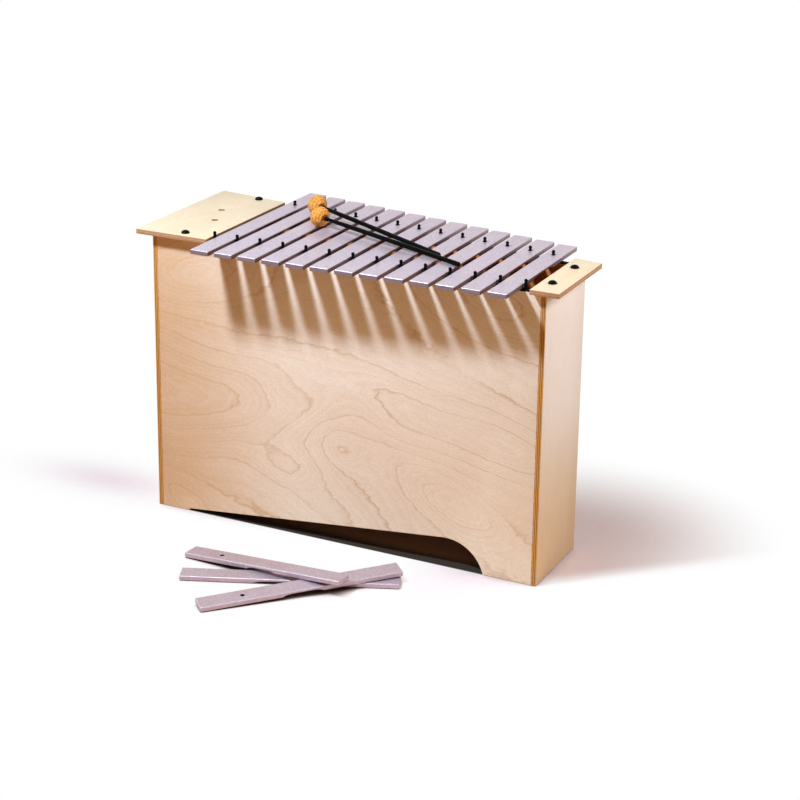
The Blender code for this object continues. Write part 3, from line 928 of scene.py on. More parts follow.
def new_mesh(
    name: str, points: np.ndarray, faces: Sequence[Sequence[int]], smooth_to: float = 40.0,
) -> bpy.types.Mesh:
    """A mesh with faces that point outwards.

    Args:
        name: Its name.
        points: One row each.
        faces: Point numbers of each face.
        smooth_to: Edges with a wider angle stay sharp, in degrees.

    Returns:
        The mesh.
    """
    mesh = bpy.data.meshes.new(name)
    mesh.from_pydata(points.tolist(), [], [list(map(int, face)) for face in faces])
    work = bmesh.new()
    work.from_mesh(mesh)
    bmesh.ops.recalc_face_normals(work, faces=work.faces)
    work.to_mesh(mesh)
    work.free()
    mesh.shade_smooth()
    mesh.set_sharp_from_angle(angle=math.radians(smooth_to))
    mesh.update()
    return mesh


def set_point_values(mesh: bpy.types.Mesh, name: str, values: np.ndarray) -> None:
    """Stores a number at every point of a mesh.

    Args:
        mesh: The mesh.
        name: The attribute's name.
        values: The numbers.
    """
    made = mesh.attributes.new(name, "FLOAT", "POINT")
    made.data.foreach_set("value", np.ascontiguousarray(values, dtype=np.float32))


def turned_mesh(
    name: str, profile: np.ndarray, segments: int, foot: np.ndarray, axis: np.ndarray,
    smooth_to: float = 40.0,
) -> bpy.types.Mesh:
    """A body turned about an axis: each point of the profile, given as radius and height, goes
    round at radius times (cos a, sin a) and its height along the axis. The first and the last
    point lie on the axis and are one point each.

    Args:
        name: Mesh name.
        profile: Radius and height, one row each, from one pole to the other.
        segments: Steps round.
        foot: Where height 0 lies.
        axis: Direction of height.
        smooth_to: Edges with a wider angle stay sharp, in degrees.

    Returns:
        The mesh.
    """
    axis = unit(axis)
    side = unit(np.cross(axis, [0.0, 0.0, 1.0] if abs(axis[2]) < 0.9 else [1.0, 0.0, 0.0]))
    other = np.cross(axis, side)
    angle = np.arange(segments) * 2 * math.pi / segments
    spoke = np.cos(angle)[:, None] * side + np.sin(angle)[:, None] * other
    inner = profile[1:-1]
    rings = foot + inner[:, None, 0, None] * spoke[None] + inner[:, None, 1, None] * axis
    poles = foot + profile[[0, -1], 1][:, None] * axis
    points = np.concatenate([rings.reshape(-1, 3), poles])
    count = len(inner) * segments
    quads = ring_faces(len(inner), segments)
    j = np.arange(segments)
    start = np.stack([np.full(segments, count), j, (j + 1) % segments], axis=-1)
    end_ring = count - segments
    end = np.stack([np.full(segments, count + 1), end_ring + (j + 1) % segments, end_ring + j], axis=-1)
    mesh = new_mesh(name, points, [*quads, *start, *end], smooth_to)
    set_point_values(mesh, "edge", np.zeros(len(points)))
    return mesh


def set_out(name: str, mesh: bpy.types.Mesh, body: str, nodes: Sequence[str],
            material: bpy.types.Material) -> bpy.types.Object:
    """Puts a finished piece in the scene, on its body and in place of its CAD nodes.

    Args:
        name: Piece name.
        mesh: Its mesh.
        body: The body that it rides on.
        nodes: The CAD nodes that it stands for.
        material: Its material.

    Returns:
        The piece.
    """
    piece = bpy.data.objects.new(name, mesh)
    bpy.context.scene.collection.objects.link(piece)
    mesh.materials.clear()
    mesh.materials.append(material)
    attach(piece, body)
    if nodes:
        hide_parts(*nodes)
    LOG.info("%s: %d faces on %s", name, len(mesh.polygons), body)
    return piece


def applied(holder: bpy.types.Object) -> bpy.types.Mesh:
    """Works out an object's modifiers and removes the object.

    Args:
        holder: The object.

    Returns:
        The finished mesh.
    """
    bpy.context.view_layer.update()
    graph = bpy.context.evaluated_depsgraph_get()
    mesh = bpy.data.meshes.new_from_object(holder.evaluated_get(graph), depsgraph=graph)
    bpy.data.objects.remove(holder, do_unlink=True)
    return mesh


# Pieces


@dataclass
class Woodwork:
    """The plywood pieces: copies of the CAD solids with rounded edges, which know at each point
    how deep it lies in the laminate.

    Attributes:
        cad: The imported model.
        rounding: Radius of the sanded edges, in metres.
        steps: Steps round them.
        shortest_edge: Shorter edges belong to screw and pin holes and stay crisp, in metres.
        flat_angle: Faces that meet at less are one face, in degrees.
        corner_angle: Edges that turn more are sanded, in degrees.
    """

    cad: Cad
    rounding: float = 0.0009
    steps: int = 3
    shortest_edge: float = 0.0030
    flat_angle: float = 0.4
    corner_angle: float = 50.0

    def sanded(self, node: str) -> bpy.types.Mesh:
        """A merged copy of a node with its corner edges rounded.

        Args:
            node: The CAD node.

        Returns:
            The mesh.
        """
        work = bmesh.new()
        work.from_mesh(self.cad.frame["nodes"][node].data)
        bmesh.ops.remove_doubles(work, verts=work.verts, dist=0.00002)
        flat = math.radians(self.flat_angle)
        bmesh.ops.dissolve_limit(work, angle_limit=flat, verts=work.verts, edges=work.edges, delimit=set())
        corner = math.radians(self.corner_angle)
        edges = [
            edge for edge in work.edges
            if len(edge.link_faces) == 2 and edge.calc_face_angle(0.0) > corner
            and edge.calc_length() > self.shortest_edge
        ]
        bmesh.ops.bevel(
            work, geom=edges, offset=self.rounding, offset_type="OFFSET", segments=self.steps,
            profile=0.5, affect="EDGES", clamp_overlap=True,
        )
        bmesh.ops.triangulate(work, faces=[face for face in work.faces if len(face.verts) > 4])
        mesh = bpy.data.meshes.new(node + "_sanded")
        work.to_mesh(mesh)
        work.free()
        mesh.shade_smooth()
        mesh.set_sharp_from_angle(angle=math.radians(30.0))
        return mesh

    def layered(self, mesh: bpy.types.Mesh, node: str) -> None:
        """Stores how deep each point lies between the two faces, from 0 to 1, the same counted
        towards the face inside the box, and how near it is to the outline.

        Args:
            mesh: The mesh.
            node: The CAD node that it copies.
        """
        normals, areas = self.cad.faces(node)
        thick = normals[np.argmax(areas)]
        depth = mesh_points(mesh) @ thick
        low, high = depth.min(), depth.max()
        layer = (depth - low) / (high - low)
        set_point_values(mesh, "layer", layer)
        inside = sum(np.array(corner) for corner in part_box("sloping_floor")) / 2
        outside_is_high = (low + high) / 2 > inside @ thick
        inner = 1.0 - layer if outside_is_high else layer
        # The inner face's value marks where the finish paints shade inside the box.
        set_point_values(mesh, "inside", inner if node.endswith("panel") else 0.0 * layer)
        rounded = np.minimum(depth - low, high - depth)
        set_point_values(mesh, "edge", np.where((rounded > 1e-5) & (rounded < self.rounding), 1.0, 0.0))

    def build(self, dress: dict[str, bpy.types.Material], slots: dict[str, str]) -> None:
        """Makes every plywood piece.

        Args:
            dress: Materials by slot.
            slots: Slot of each CAD node.
        """
        for node in ("front_panel", "back_panel", "left_side_panel", "right_side_panel", "sloping_floor",
                     "left_cover_board", "right_cover_board"):
            mesh = self.sanded(node)
            self.layered(mesh, node)
            set_out(f"{node}_veneered", mesh, "cabinet", [node], dress[slots[node]])


@dataclass
class BarFrame:
    """Where a bar lies and how it is shaped, read from its CAD node.

    Attributes:
        centre: Middle of the bar's box, in its own directions.
        along: Direction of its length.
        across: Direction of its width.
        up: Direction of its thickness.
        length: Its length.
        width: Its width.
        thick: Its thickness.
        hole: Place of the hole's axis along it, from the middle.
    """

    centre: np.ndarray
    along: np.ndarray
    across: np.ndarray
    up: np.ndarray
    length: float
    width: float
    thick: float
    hole: float

    @classmethod
    def read(cls, cad: Cad, node: str) -> "BarFrame":
        """Reads a bar: its largest upward side gives the thickness, its largest standing side
        the width, and the points near its middle line belong to the hole.

        Args:
            cad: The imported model.
            node: The bar's node.

        Returns:
            The bar's frame.
        """
        up = cad.main_direction(node, np.array([0.0, 0.0, 1.0]), across=False)
        across = cad.main_direction(node, up, across=True)
        across = unit(across - up * (across @ up))
        along = np.cross(up, across)
        points = cad.points(node)
        own = points @ np.stack([along, across, up], axis=1)
        low, high = own.min(axis=0), own.max(axis=0)
        middle = (low + high) / 2
        rim = own[np.abs(own[:, 1] - middle[1]) < 0.008][:, 0]
        centre = middle @ np.stack([along, across, up])
        size = high - low
        return cls(centre, along, across, up, *size, hole=(rim.min() + rim.max()) / 2 - middle[0])

    def to_world(self, own: np.ndarray) -> np.ndarray:
        """Points given along, across and up from the middle, in world places."""
        return self.centre + own @ np.stack([self.along, self.across, self.up])


@dataclass
class ToneBars:
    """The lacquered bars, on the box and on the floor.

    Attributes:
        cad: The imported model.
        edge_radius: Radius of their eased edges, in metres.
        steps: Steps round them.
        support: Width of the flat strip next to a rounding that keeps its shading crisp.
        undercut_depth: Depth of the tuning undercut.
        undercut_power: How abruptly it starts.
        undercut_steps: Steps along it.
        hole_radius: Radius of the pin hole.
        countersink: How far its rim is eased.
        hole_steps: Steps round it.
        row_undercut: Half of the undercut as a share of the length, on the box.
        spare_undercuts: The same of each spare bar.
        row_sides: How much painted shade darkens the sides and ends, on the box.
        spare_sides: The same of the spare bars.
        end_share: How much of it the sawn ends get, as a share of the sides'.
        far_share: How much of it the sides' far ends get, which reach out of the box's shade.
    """

    cad: Cad
    edge_radius: float = 0.0022
    steps: int = 4
    support: float = 0.0004
    undercut_depth: float = 0.0045
    undercut_power: int = 6
    undercut_steps: int = 28
    hole_radius: float = 0.0045
    countersink: float = 0.0005
    hole_steps: int = 32
    row_undercut: float = 0.14
    spare_undercuts: tuple[tuple[str, float], ...] = (("low", 0.17), ("middle", 0.10), ("top", 0.09))
    row_sides: float = 1.0
    spare_sides: float = 0.0
    end_share: float = 0.70
    far_share: float = 0.10

    def section(self, bar: BarFrame, inset: np.ndarray, floor: np.ndarray) -> np.ndarray:
        """Rounded oblong sections, one per station: each corner is a quarter circle about a
        centre that lies one radius inside both sides, with a support point beyond each end.

        Args:
            bar: The bar.
            inset: How far each station's section is drawn in.
            floor: How far each station's underside is raised.

        Returns:
            Across and up places, by station and point.
        """
        turns = np.linspace(0.0, math.pi / 2, self.steps + 1)
        reach = self.support
        rows = []
        for quarter, (side, top) in enumerate(((1, 1), (-1, 1), (-1, -1), (1, -1))):
            angle = quarter * math.pi / 2 + turns
            radius = np.maximum(self.edge_radius - inset, 0.0001)[:, None]
            half = bar.width / 2 - inset
            high = bar.thick / 2 - inset
            low = -bar.thick / 2 + floor + inset
            middle_across = side * (half[:, None] - radius)
            middle_up = high[:, None] - radius if top > 0 else low[:, None] + radius
            arc_across = middle_across + radius * np.cos(angle)
            arc_up = middle_up + radius * np.sin(angle)
            before, after = angle[0] - math.pi / 2, angle[-1] + math.pi / 2
            first = (arc_across[:, :1] + reach * math.cos(before), arc_up[:, :1] + reach * math.sin(before))
            last = (arc_across[:, -1:] + reach * math.cos(after), arc_up[:, -1:] + reach * math.sin(after))
            rows.append((np.hstack([first[0], arc_across, last[0]]), np.hstack([first[1], arc_up, last[1]])))
        return np.stack([np.hstack([r[0] for r in rows]), np.hstack([r[1] for r in rows])], axis=-1)

    def body(self, bar: BarFrame, undercut: float) -> tuple[np.ndarray, list[np.ndarray]]:
        """The bar without its hole: sections carried along its length, drawn in at the ends as a
        quarter circle, and raised below by depth times (1 minus t to the undercut's power).

        Args:
            bar: The bar.
            undercut: Half of the undercut as a share of the length.

        Returns:
            Points in the bar's own directions, and faces.
        """
        turn = np.linspace(0.0, math.pi / 2, self.steps + 1)
        end_place = self.edge_radius * (1 - np.cos(turn))
        end_inset = self.edge_radius * (1 - np.sin(turn))
        half = bar.length / 2
        cut = undercut * bar.length
        t = np.sin(np.linspace(-math.pi / 2, math.pi / 2, self.undercut_steps + 1))
        front = np.concatenate([-half + end_place, [-half + end_place[-1] + self.support]])
        places = np.concatenate([front, t * cut, -front[::-1]])
        insets = np.concatenate([end_inset, [0.0], np.zeros(len(t)), [0.0], end_inset[::-1]])
        within = np.clip(np.abs(places) / cut, 0.0, 1.0)
        floors = self.undercut_depth * (1 - within**self.undercut_power)
        flat = self.section(bar, insets, floors)
        rows, columns = flat.shape[:2]
        own = np.concatenate([np.broadcast_to(places[:, None, None], (rows, columns, 1)), flat], axis=-1)
        caps = [np.arange(columns)[::-1], (rows - 1) * columns + np.arange(columns)]
        return own.reshape(-1, 3), [*ring_faces(rows, columns), *caps]

    def drill(self, bar: BarFrame) -> bpy.types.Object:
        """The tool that takes the hole away: a cylinder that widens at the top face.

        Args:
            bar: The bar.

        Returns:
            The tool, hidden in the render.
        """
        top, ease = bar.thick / 2, self.countersink
        profile = np.array([
            (0.0, 2 * bar.thick), (self.hole_radius + ease + bar.thick, top + bar.thick),
            (self.hole_radius + ease, top), (self.hole_radius, top - ease),
            (self.hole_radius, -2 * bar.thick), (0.0, -2 * bar.thick),
        ])
        foot = bar.to_world(np.array([bar.hole, 0.0, 0.0]))
        tool = bpy.data.objects.new("drill", turned_mesh("drill", profile, self.hole_steps, foot, bar.up))
        bpy.context.scene.collection.objects.link(tool)
        return tool

    def finished(self, node: str, undercut: float, painted_side_shade: float) -> bpy.types.Mesh:
        """One bar with its hole.

        Args:
            node: The bar's CAD node.
            undercut: Half of the undercut as a share of the length.
            painted_side_shade: How much painted shade its sides and ends get.

        Returns:
            The mesh.
        """
        bar = BarFrame.read(self.cad, node)
        own, faces = self.body(bar, undercut)
        blank = bpy.data.objects.new(node, new_mesh(node, bar.to_world(own), faces))
        bpy.context.scene.collection.objects.link(blank)
        tool = self.drill(bar)
        hole = blank.modifiers.new("pin_hole", "BOOLEAN")
        hole.operation, hole.solver, hole.object = "DIFFERENCE", "EXACT", tool
        mesh = applied(blank)
        bpy.data.objects.remove(tool, do_unlink=True)
        mesh.shade_smooth()
        mesh.set_sharp_from_angle(angle=math.radians(40.0))
        self.mark_surfaces(mesh, bar, painted_side_shade)
        return mesh

    def mark_surfaces(self, mesh: bpy.types.Mesh, bar: BarFrame, painted_side_shade: float) -> None:
        """Stores how near each point is to an edge, 1 minus the second smallest of its distances
        to the sides over the radius, how much painted shade it gets, which it does below the top's
        rounding and less so towards the back, and whether it belongs to the pin hole.

        Args:
            mesh: The bar's mesh.
            bar: Its frame.
            painted_side_shade: How much painted shade its sides and ends get.
        """
        own = (mesh_points(mesh) - bar.centre) @ np.stack([bar.along, bar.across, bar.up], axis=1)
        sides = np.array([bar.length, bar.width, bar.thick]) / 2 - np.abs(own)
        second = np.sort(sides, axis=1)[:, 1]
        set_point_values(mesh, "edge", np.clip(1.0 - second / self.edge_radius, 0.0, 1.0))
        # Painted shade: the sides and ends below the top's rounding are marked for darkening.
        below_top = bar.thick / 2 - own[:, 2]
        back = own[:, 0] * np.sign(bar.along[1]) / bar.length
        along_side = np.interp(back, [0.0, self.row_undercut, 0.5], [1.0, 1.0, self.far_share])
        share = np.where(sides[:, 0] < sides[:, 1], self.end_share * along_side, along_side)
        set_point_values(mesh, "side", painted_side_shade * share * (below_top > 0.6 * self.edge_radius))
        # The pin hole's wall gets painted shade.
        from_axis = np.hypot(own[:, 0] - bar.hole, own[:, 1])
        bore = (from_axis < self.hole_radius + 0.0001) & (below_top > 0.5 * self.countersink)
        set_point_values(mesh, "bore", bore.astype(float))

    def build(self, material: bpy.types.Material) -> None:
        """Makes all bars.

        Args:
            material: The lacquer.
        """
        for i in range(1, 14):
            node = f"tone_bar_{i:02d}"
            mesh = self.finished(node, self.row_undercut, self.row_sides)
            set_out(f"{node}_lacquered", mesh, f"bar_{i:02d}", [node], material)
        for name, undercut in self.spare_undercuts:
            node = f"spare_bar_{name}"
            mesh = self.finished(node, undercut, self.spare_sides)
            set_out(f"{node}_lacquered", mesh, f"spare_{name}", [node], material)


@dataclass
class Pins:
    """Soft black pins that hold the bars: a sleeve, a cone, a neck and a ball.

    Attributes:
        sleeve: Radius of the sleeve, in metres.
        neck: Radius of the neck.
        ball: Radius of the ball.
        above: Height of the ball's middle over the bar's top.
        cone: Height of the cone over the bar's top. Not used.
        bar_thick: Thickness of the bars.
        segments: Steps round a pin.
    """

    sleeve: float = 0.0037
    neck: float = 0.0028
    ball: float = 0.0034
    above: float = 0.0065
    cone: float = 0.0035
    bar_thick: float = 0.010
    segments: int = 28

    def profile(self, ball_top: float, foot: float) -> np.ndarray:
        """Radius and height of a pin, from the ball's pole down: a circle's arc, a hollow throat
        whose radius widens from the neck to the sleeve as a power of the way down, the sleeve and
        the shank.

        Args:
            ball_top: Height of the ball's pole.
            foot: Height of the shank's end.

        Returns:
            One row each.
        """
        middle = ball_top - self.ball
        bar_top = middle - self.above
        last = math.pi - math.asin(self.neck * 1.04 / self.ball)
        a = np.linspace(0.0, last, 15)
        ball = np.stack([self.ball * np.sin(a), middle + self.ball * np.cos(a)], axis=1)
        h = np.linspace(ball[-1, 1], bar_top, 12)[1:]
        share = (ball[-1, 1] - h) / (ball[-1, 1] - bar_top)
        throat = self.neck + (self.sleeve - self.neck) * share**2.2
        cone = np.stack([throat, h], axis=1)
        seat = bar_top - self.bar_thick
        sleeve = np.array([
            (self.sleeve, bar_top - 0.0006),
            (self.sleeve, seat + 0.0006),
            (self.sleeve - 0.0003, seat + 0.0003),
        ])
        shank = np.array([(0.0015, seat + 0.0003), (0.0015, foot), (0.0, foot)])
        return np.concatenate([ball, cone, sleeve, shank])

    def build(self, material: bpy.types.Material) -> None:
        """Makes all pins where their CAD nodes are.

        Args:
            material: The sleeves' finish.
        """
        for kind, count in (("far_pin", 13), ("guide_pin", 14)):
            for i in range(1, count + 1):
                node = f"{kind}_{i:02d}"
                low, high = (np.array(corner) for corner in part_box(node))
                foot = np.array([*((low + high) / 2)[:2], 0.0])
                profile = self.profile(high[2], low[2])
                mesh = turned_mesh(node + "_sleeve", profile, self.segments, foot, np.array([0.0, 0.0, 1.0]))
                set_out(f"{node}_sleeved", mesh, "cabinet", [node], material)


@dataclass
class DomedScrews:
    """Polished black screws with domed caps over the cover boards.

    Attributes:
        cap: Radius of the cap, in metres.
        rise: Height of the dome.
        rim: Height of the cap's thin upright rim.
        shank: Radius of the shank.
        segments: Steps round.
    """

    cap: float = 0.0085
    rise: float = 0.0060
    rim: float = 0.0007
    shank: float = 0.0020
    segments: int = 48

    def profile(self, top: float, foot: float) -> np.ndarray:
        """Radius and height from the dome's pole down: an ellipse's quarter, a short rim with a
        rounded lower edge, and the shank.

        Args:
            top: Height of the pole.
            foot: Height of the shank's end.

        Returns:
            One row each.
        """
        seat = top - self.rise
        a = np.linspace(0.0, math.pi / 2, 20)
        dome = np.stack([self.cap * np.sin(a), seat + self.rim + (self.rise - self.rim) * np.cos(a)], axis=1)
        lower = np.array([
            (self.cap, seat + 0.0002), (self.cap - 0.0002, seat), (self.shank, seat), (self.shank, foot),
            (0.0, foot),
        ])
        return np.concatenate([dome, lower])

    def build(self, material: bpy.types.Material) -> None:
        """Makes the four screws.

        Args:
            material: Their finish.
        """
        for node in ("left_front_screw", "left_back_screw", "right_front_screw", "right_back_screw"):
            low, high = (np.array(corner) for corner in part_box(node))
            foot = np.array([*((low + high) / 2)[:2], 0.0])
            profile = self.profile(high[2], low[2])
            mesh = turned_mesh(node, profile, self.segments, foot, np.array([0.0, 0.0, 1.0]))
            set_out(f"{node}_domed", mesh, "cabinet", [node], material)


@dataclass
class MalletShape:
    """One mallet's place: the head's middle and the direction from there to the stick's tail.

    Attributes:
        head: Middle of the head.
        tail: Unit direction towards the tail.
        reach: Distance from the head's middle to the tail's end.
        inner: Distance from the head's middle, towards the crown, to the stick's inner end.
        girth: Radius of the CAD stick.
    """

    head: np.ndarray
    tail: np.ndarray
    reach: float
    inner: float
    girth: float

    @classmethod
    def read(cls, cad: Cad, name: str, half: float) -> "MalletShape":
        """Reads a mallet from its two CAD nodes. The stick's points spread widest along its axis.

        Args:
            cad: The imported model.
            name: Front or rear.
            half: Half of the head's length.

        Returns:
            The mallet's place.
        """
        stick = cad.points(f"{name}_mallet_stick")
        head_points = cad.points(f"{name}_mallet_head")
        spread = stick - stick.mean(axis=0)
        tail = np.linalg.svd(spread, full_matrices=False)[2][0]
        if (stick.mean(axis=0) - head_points.mean(axis=0)) @ tail < 0:
            tail = -tail
        along_head, along_stick = head_points @ tail, stick @ tail
        first, last = along_stick.min(), along_stick.max()
        ends = np.isclose(along_stick, first, atol=1e-5) | np.isclose(along_stick, last, atol=1e-5)
        axis_point = stick[ends].mean(axis=0)
        middle = along_head.min() + half
        head = axis_point + tail * (middle - axis_point @ tail)
        aside = (stick - head) - ((stick - head) @ tail)[:, None] * tail
        return cls(head, tail, last - middle, middle - first, np.linalg.norm(aside, axis=1).max())

    def rested(self, radius: float) -> "MalletShape":
        """The same mallet with a thinner stick, leant down so that its tail still touches what
        the CAD stick rests on.

        Args:
            radius: Radius of the thinner stick.

        Returns:
            The mallet's place.
        """
        down = unit(self.tail * self.tail[2] - np.array([0.0, 0.0, 1.0]))
        leant = unit(self.tail + down * (self.girth - radius) / self.reach)
        return replace(self, tail=leant)


@dataclass
class Mallets:
    """Two mallets: a head wound crosswise with yarn, and a polished stick that thins to it.

    Attributes:
        cad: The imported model.
        head_radius: Radius of the wound head across the stick, in metres.
        head_half: Half of its length along the stick.
        strand: Radius of the yarn.
        wraps: Times that the yarn goes round.
        points: Points on one time round.
        sides: Sides of the strand.
        lowest_lean: Least lean of a wrap's plane to the stick, in degrees.
        highest_lean: Greatest lean.
        stick: Radius of the stick.
        tip: Radius of its thin end.
        taper: Distance from the head at which it has its full radius.
        collar: Radius of the collar under the head.
        collar_length: Its length.
        stick_segments: Steps round the stick.
    """

    cad: Cad
    head_radius: float = 0.0215
    head_half: float = 0.0190
    strand: float = 0.00150
    wraps: int = 54
    points: int = 44
    sides: int = 6
    lowest_lean: float = 44.0
    highest_lean: float = 78.0
    stick: float = 0.0047
    tip: float = 0.0036
    taper: float = 0.100
    collar: float = 0.0046
    collar_length: float = 0.005
    stick_segments: int = 40

    def axes(self, shape: MalletShape) -> np.ndarray:
        """Two directions across the stick and the one along it, as rows."""
        side = unit(np.cross(shape.tail, [0.0, 0.0, 1.0]))
        return np.stack([side, np.cross(shape.tail, side), shape.tail])

    def winding(self) -> np.ndarray:
        """The yarn's path in the head's own directions. Each time round is a great circle whose
        plane leans by b and has moved on by the golden angle: its points are
        cos t (cos a, sin a, 0) + sin t (-sin a cos b, cos a cos b, sin b), scaled to the head,
        and the layers rise a little from the first wrap to the last.

        Returns:
            Points by wrap and step.
        """
        wrap = np.arange(self.wraps)
        t = np.arange(self.points) * 2 * math.pi / self.points
        golden = math.pi * (3 - math.sqrt(5))
        share = (wrap * 0.618034) % 1.0
        lean = np.radians(self.lowest_lean + (self.highest_lean - self.lowest_lean) * share)
        a = (wrap * golden)[:, None] + 0 * t
        b = lean[:, None] + 0 * t
        cos_t, sin_t = np.cos(t)[None], np.sin(t)[None]
        around = np.stack([
            cos_t * np.cos(a) - sin_t * np.sin(a) * np.cos(b),
            cos_t * np.sin(a) + sin_t * np.cos(a) * np.cos(b),
            sin_t * np.sin(b),
        ], axis=-1)
        layer = 1.0 - 0.055 * (1 - wrap / (self.wraps - 1))[:, None, None]
        return around * layer

    def wound_head(self, name: str, shape: MalletShape) -> bpy.types.Mesh:
        """The wound yarn over its core.

        Args:
            name: Mesh name.
            shape: The mallet's place.

        Returns:
            The mesh, with the strand's own coordinates, and with each point marked by how far it
            is turned inwards: (1 minus the cosine of its angle) over 2, and 1 on the core. The
            yarn's finish darkens these as painted shade.
        """
        size = np.array([self.head_radius, self.head_radius, self.head_half]) - 1.15 * self.strand
        path = self.winding() * size
        ahead = unit(np.roll(path, -1, axis=1) - np.roll(path, 1, axis=1))
        out = unit(path / size**2)
        out = unit(out - ahead * (out * ahead).sum(axis=-1, keepdims=True))
        beside = np.cross(ahead, out)
        angle = np.arange(self.sides) * 2 * math.pi / self.sides
        outwards = np.cos(angle)[:, None] * out[..., None, :]
        sideways = np.sin(angle)[:, None] * beside[..., None, :]
        tube = path[..., None, :] + self.strand * (outwards + sideways)
        faces = np.concatenate([
            ring_faces(self.points, self.sides, wrap * self.points * self.sides, closed=True)
            for wrap in range(self.wraps)
        ])
        core, core_faces = self.core(size * 0.955, len(tube.reshape(-1, 3)))
        own = np.concatenate([tube.reshape(-1, 3), core])
        mesh = new_mesh(name, shape.head + own @ self.axes(shape), [*faces, *core_faces], 60.0)
        strand_points = self.wraps * self.points * self.sides
        turned_in = np.broadcast_to((1 - np.cos(angle)) / 2, tube.shape[:-1]).ravel()
        set_point_values(mesh, "edge", np.concatenate([turned_in, np.ones(len(core))]))
        self.lay_strand(mesh, strand_points)
        return mesh

    def core(self, size: np.ndarray, first: int) -> tuple[np.ndarray, list[np.ndarray]]:
        """The ball under the yarn: an ellipsoid of latitude rings with a point at each pole.

        Args:
            size: Its half sizes.
            first: Number of its first point.

        Returns:
            Points and faces.
        """
        rows, columns = 17, 32
        height = np.linspace(0.0, math.pi, rows + 2)[1:-1]
        turn = np.arange(columns) * 2 * math.pi / columns
        ring = np.stack([
            np.sin(height)[:, None] * np.cos(turn), np.sin(height)[:, None] * np.sin(turn),
            np.cos(height)[:, None] + 0 * turn,
        ], axis=-1)
        points = np.concatenate([ring.reshape(-1, 3), [[0, 0, 1], [0, 0, -1]]]) * size
        j = np.arange(columns)
        top, bottom = first + rows * columns, first + rows * columns + 1
        start = np.stack([np.full(columns, top), first + j, first + (j + 1) % columns], axis=-1)
        end_ring = first + (rows - 1) * columns
        end = np.stack([np.full(columns, bottom), end_ring + (j + 1) % columns, end_ring + j], axis=-1)
        return points, [*ring_faces(rows, columns, first), *start, *end]

    def lay_strand(self, mesh: bpy.types.Mesh, strand_points: int) -> None:
        """Gives the yarn its own coordinates: the length along the strand over its girth, and the
        share of the way round it. A face that closes a ring counts on past the end.

        Args:
            mesh: The head's mesh.
            strand_points: How many points belong to the yarn.
        """
        layer = mesh.uv_layers.new(name="strand")
        corners = np.empty(len(mesh.loops), dtype=np.int32)
        mesh.loops.foreach_get("vertex_index", corners)
        starts = np.empty(len(mesh.polygons), dtype=np.int32)
        totals = np.empty(len(mesh.polygons), dtype=np.int32)
        mesh.polygons.foreach_get("loop_start", starts)
        mesh.polygons.foreach_get("loop_total", totals)
        face = np.repeat(np.arange(len(starts)), totals)
        side = corners % self.sides
        step = (corners // self.sides) % self.points
        face_low_side = np.full(len(starts), 10**6)
        face_low_step = np.full(len(starts), 10**6)
        face_high_side, face_high_step = np.zeros(len(starts), int), np.zeros(len(starts), int)
        np.minimum.at(face_low_side, face, side)
        np.minimum.at(face_low_step, face, step)
        np.maximum.at(face_high_side, face, side)
        np.maximum.at(face_high_step, face, step)
        wraps_side = (face_high_side - face_low_side > 1)[face] & (side == 0)
        wraps_step = (face_high_step - face_low_step > 1)[face] & (step == 0)
        girth = 2 * math.pi * self.strand
        around = 2 * math.pi * self.head_radius / girth
        u = (step + wraps_step * self.points) / self.points * round(around)
        v = (side + wraps_side * self.sides) / self.sides
        yarn = corners < strand_points
        values = np.stack([np.where(yarn, u, 0.5), np.where(yarn, v, 0.5)], axis=-1)
        layer.data.foreach_set("uv", values.astype(np.float32).ravel())

    def stick_profile(self, shape: MalletShape) -> np.ndarray:
        """Radius and distance along the stick: the part inside the head, a rounded collar, a
        taper that widens as a sine's quarter, and a tail whose end is an ellipse's quarter.

        Args:
            shape: The mallet's place.

        Returns:
            One row each.
        """
        start = -shape.inner
        collar = self.head_half + 0.0003
        a = np.linspace(0.0, math.pi, 9)
        bead = np.stack([
            self.tip + (self.collar - self.tip) * np.sin(a)**0.5,
            collar + self.collar_length * (1 - np.cos(a)) / 2,
        ], axis=1)
        share = np.linspace(0.0, 1.0, 16)[1:]
        thin_from = collar + self.collar_length
        taper = np.stack([
            self.tip + (self.stick - self.tip) * np.sin(share * math.pi / 2),
            thin_from + share * (self.taper - thin_from),
        ], axis=1)
        long = np.linspace(self.taper, shape.reach - 0.004, 24)[1:]
        shaft = np.stack([np.full(len(long), self.stick), long], axis=1)
        b = np.linspace(0.0, math.pi / 2, 12)[1:]
        tail = np.stack([self.stick * np.cos(b)**0.6, shape.reach - 0.004 + 0.004 * np.sin(b)], axis=1)
        tail[-1, 0] = 0.0
        head_part = np.array([
            (0.0, start), (self.tip - 0.0004, start), (self.tip, start + 0.0004), (self.tip, collar - 0.0003),
        ])
        return np.concatenate([head_part, bead, taper, shaft, tail])

    def build(self, yarn: bpy.types.Material, gloss: bpy.types.Material) -> None:
        """Makes both mallets.

        Args:
            yarn: The heads' finish.
            gloss: The sticks' finish.
        """
        for name in ("front", "rear"):
            shape = MalletShape.read(self.cad, name, self.head_half).rested(self.stick)
            body = f"{name}_mallet"
            head = self.wound_head(f"{name}_head", shape)
            set_out(f"{name}_mallet_wound_head", head, body, [f"{name}_mallet_head"], yarn)
            profile = self.stick_profile(shape)
            stick = turned_mesh(f"{name}_stick", profile, self.stick_segments, shape.head, shape.tail)
            replaced = [f"{name}_mallet_stick"]
            set_out(f"{name}_mallet_polished_stick", stick, body, replaced, gloss)


# Floor, light and camera


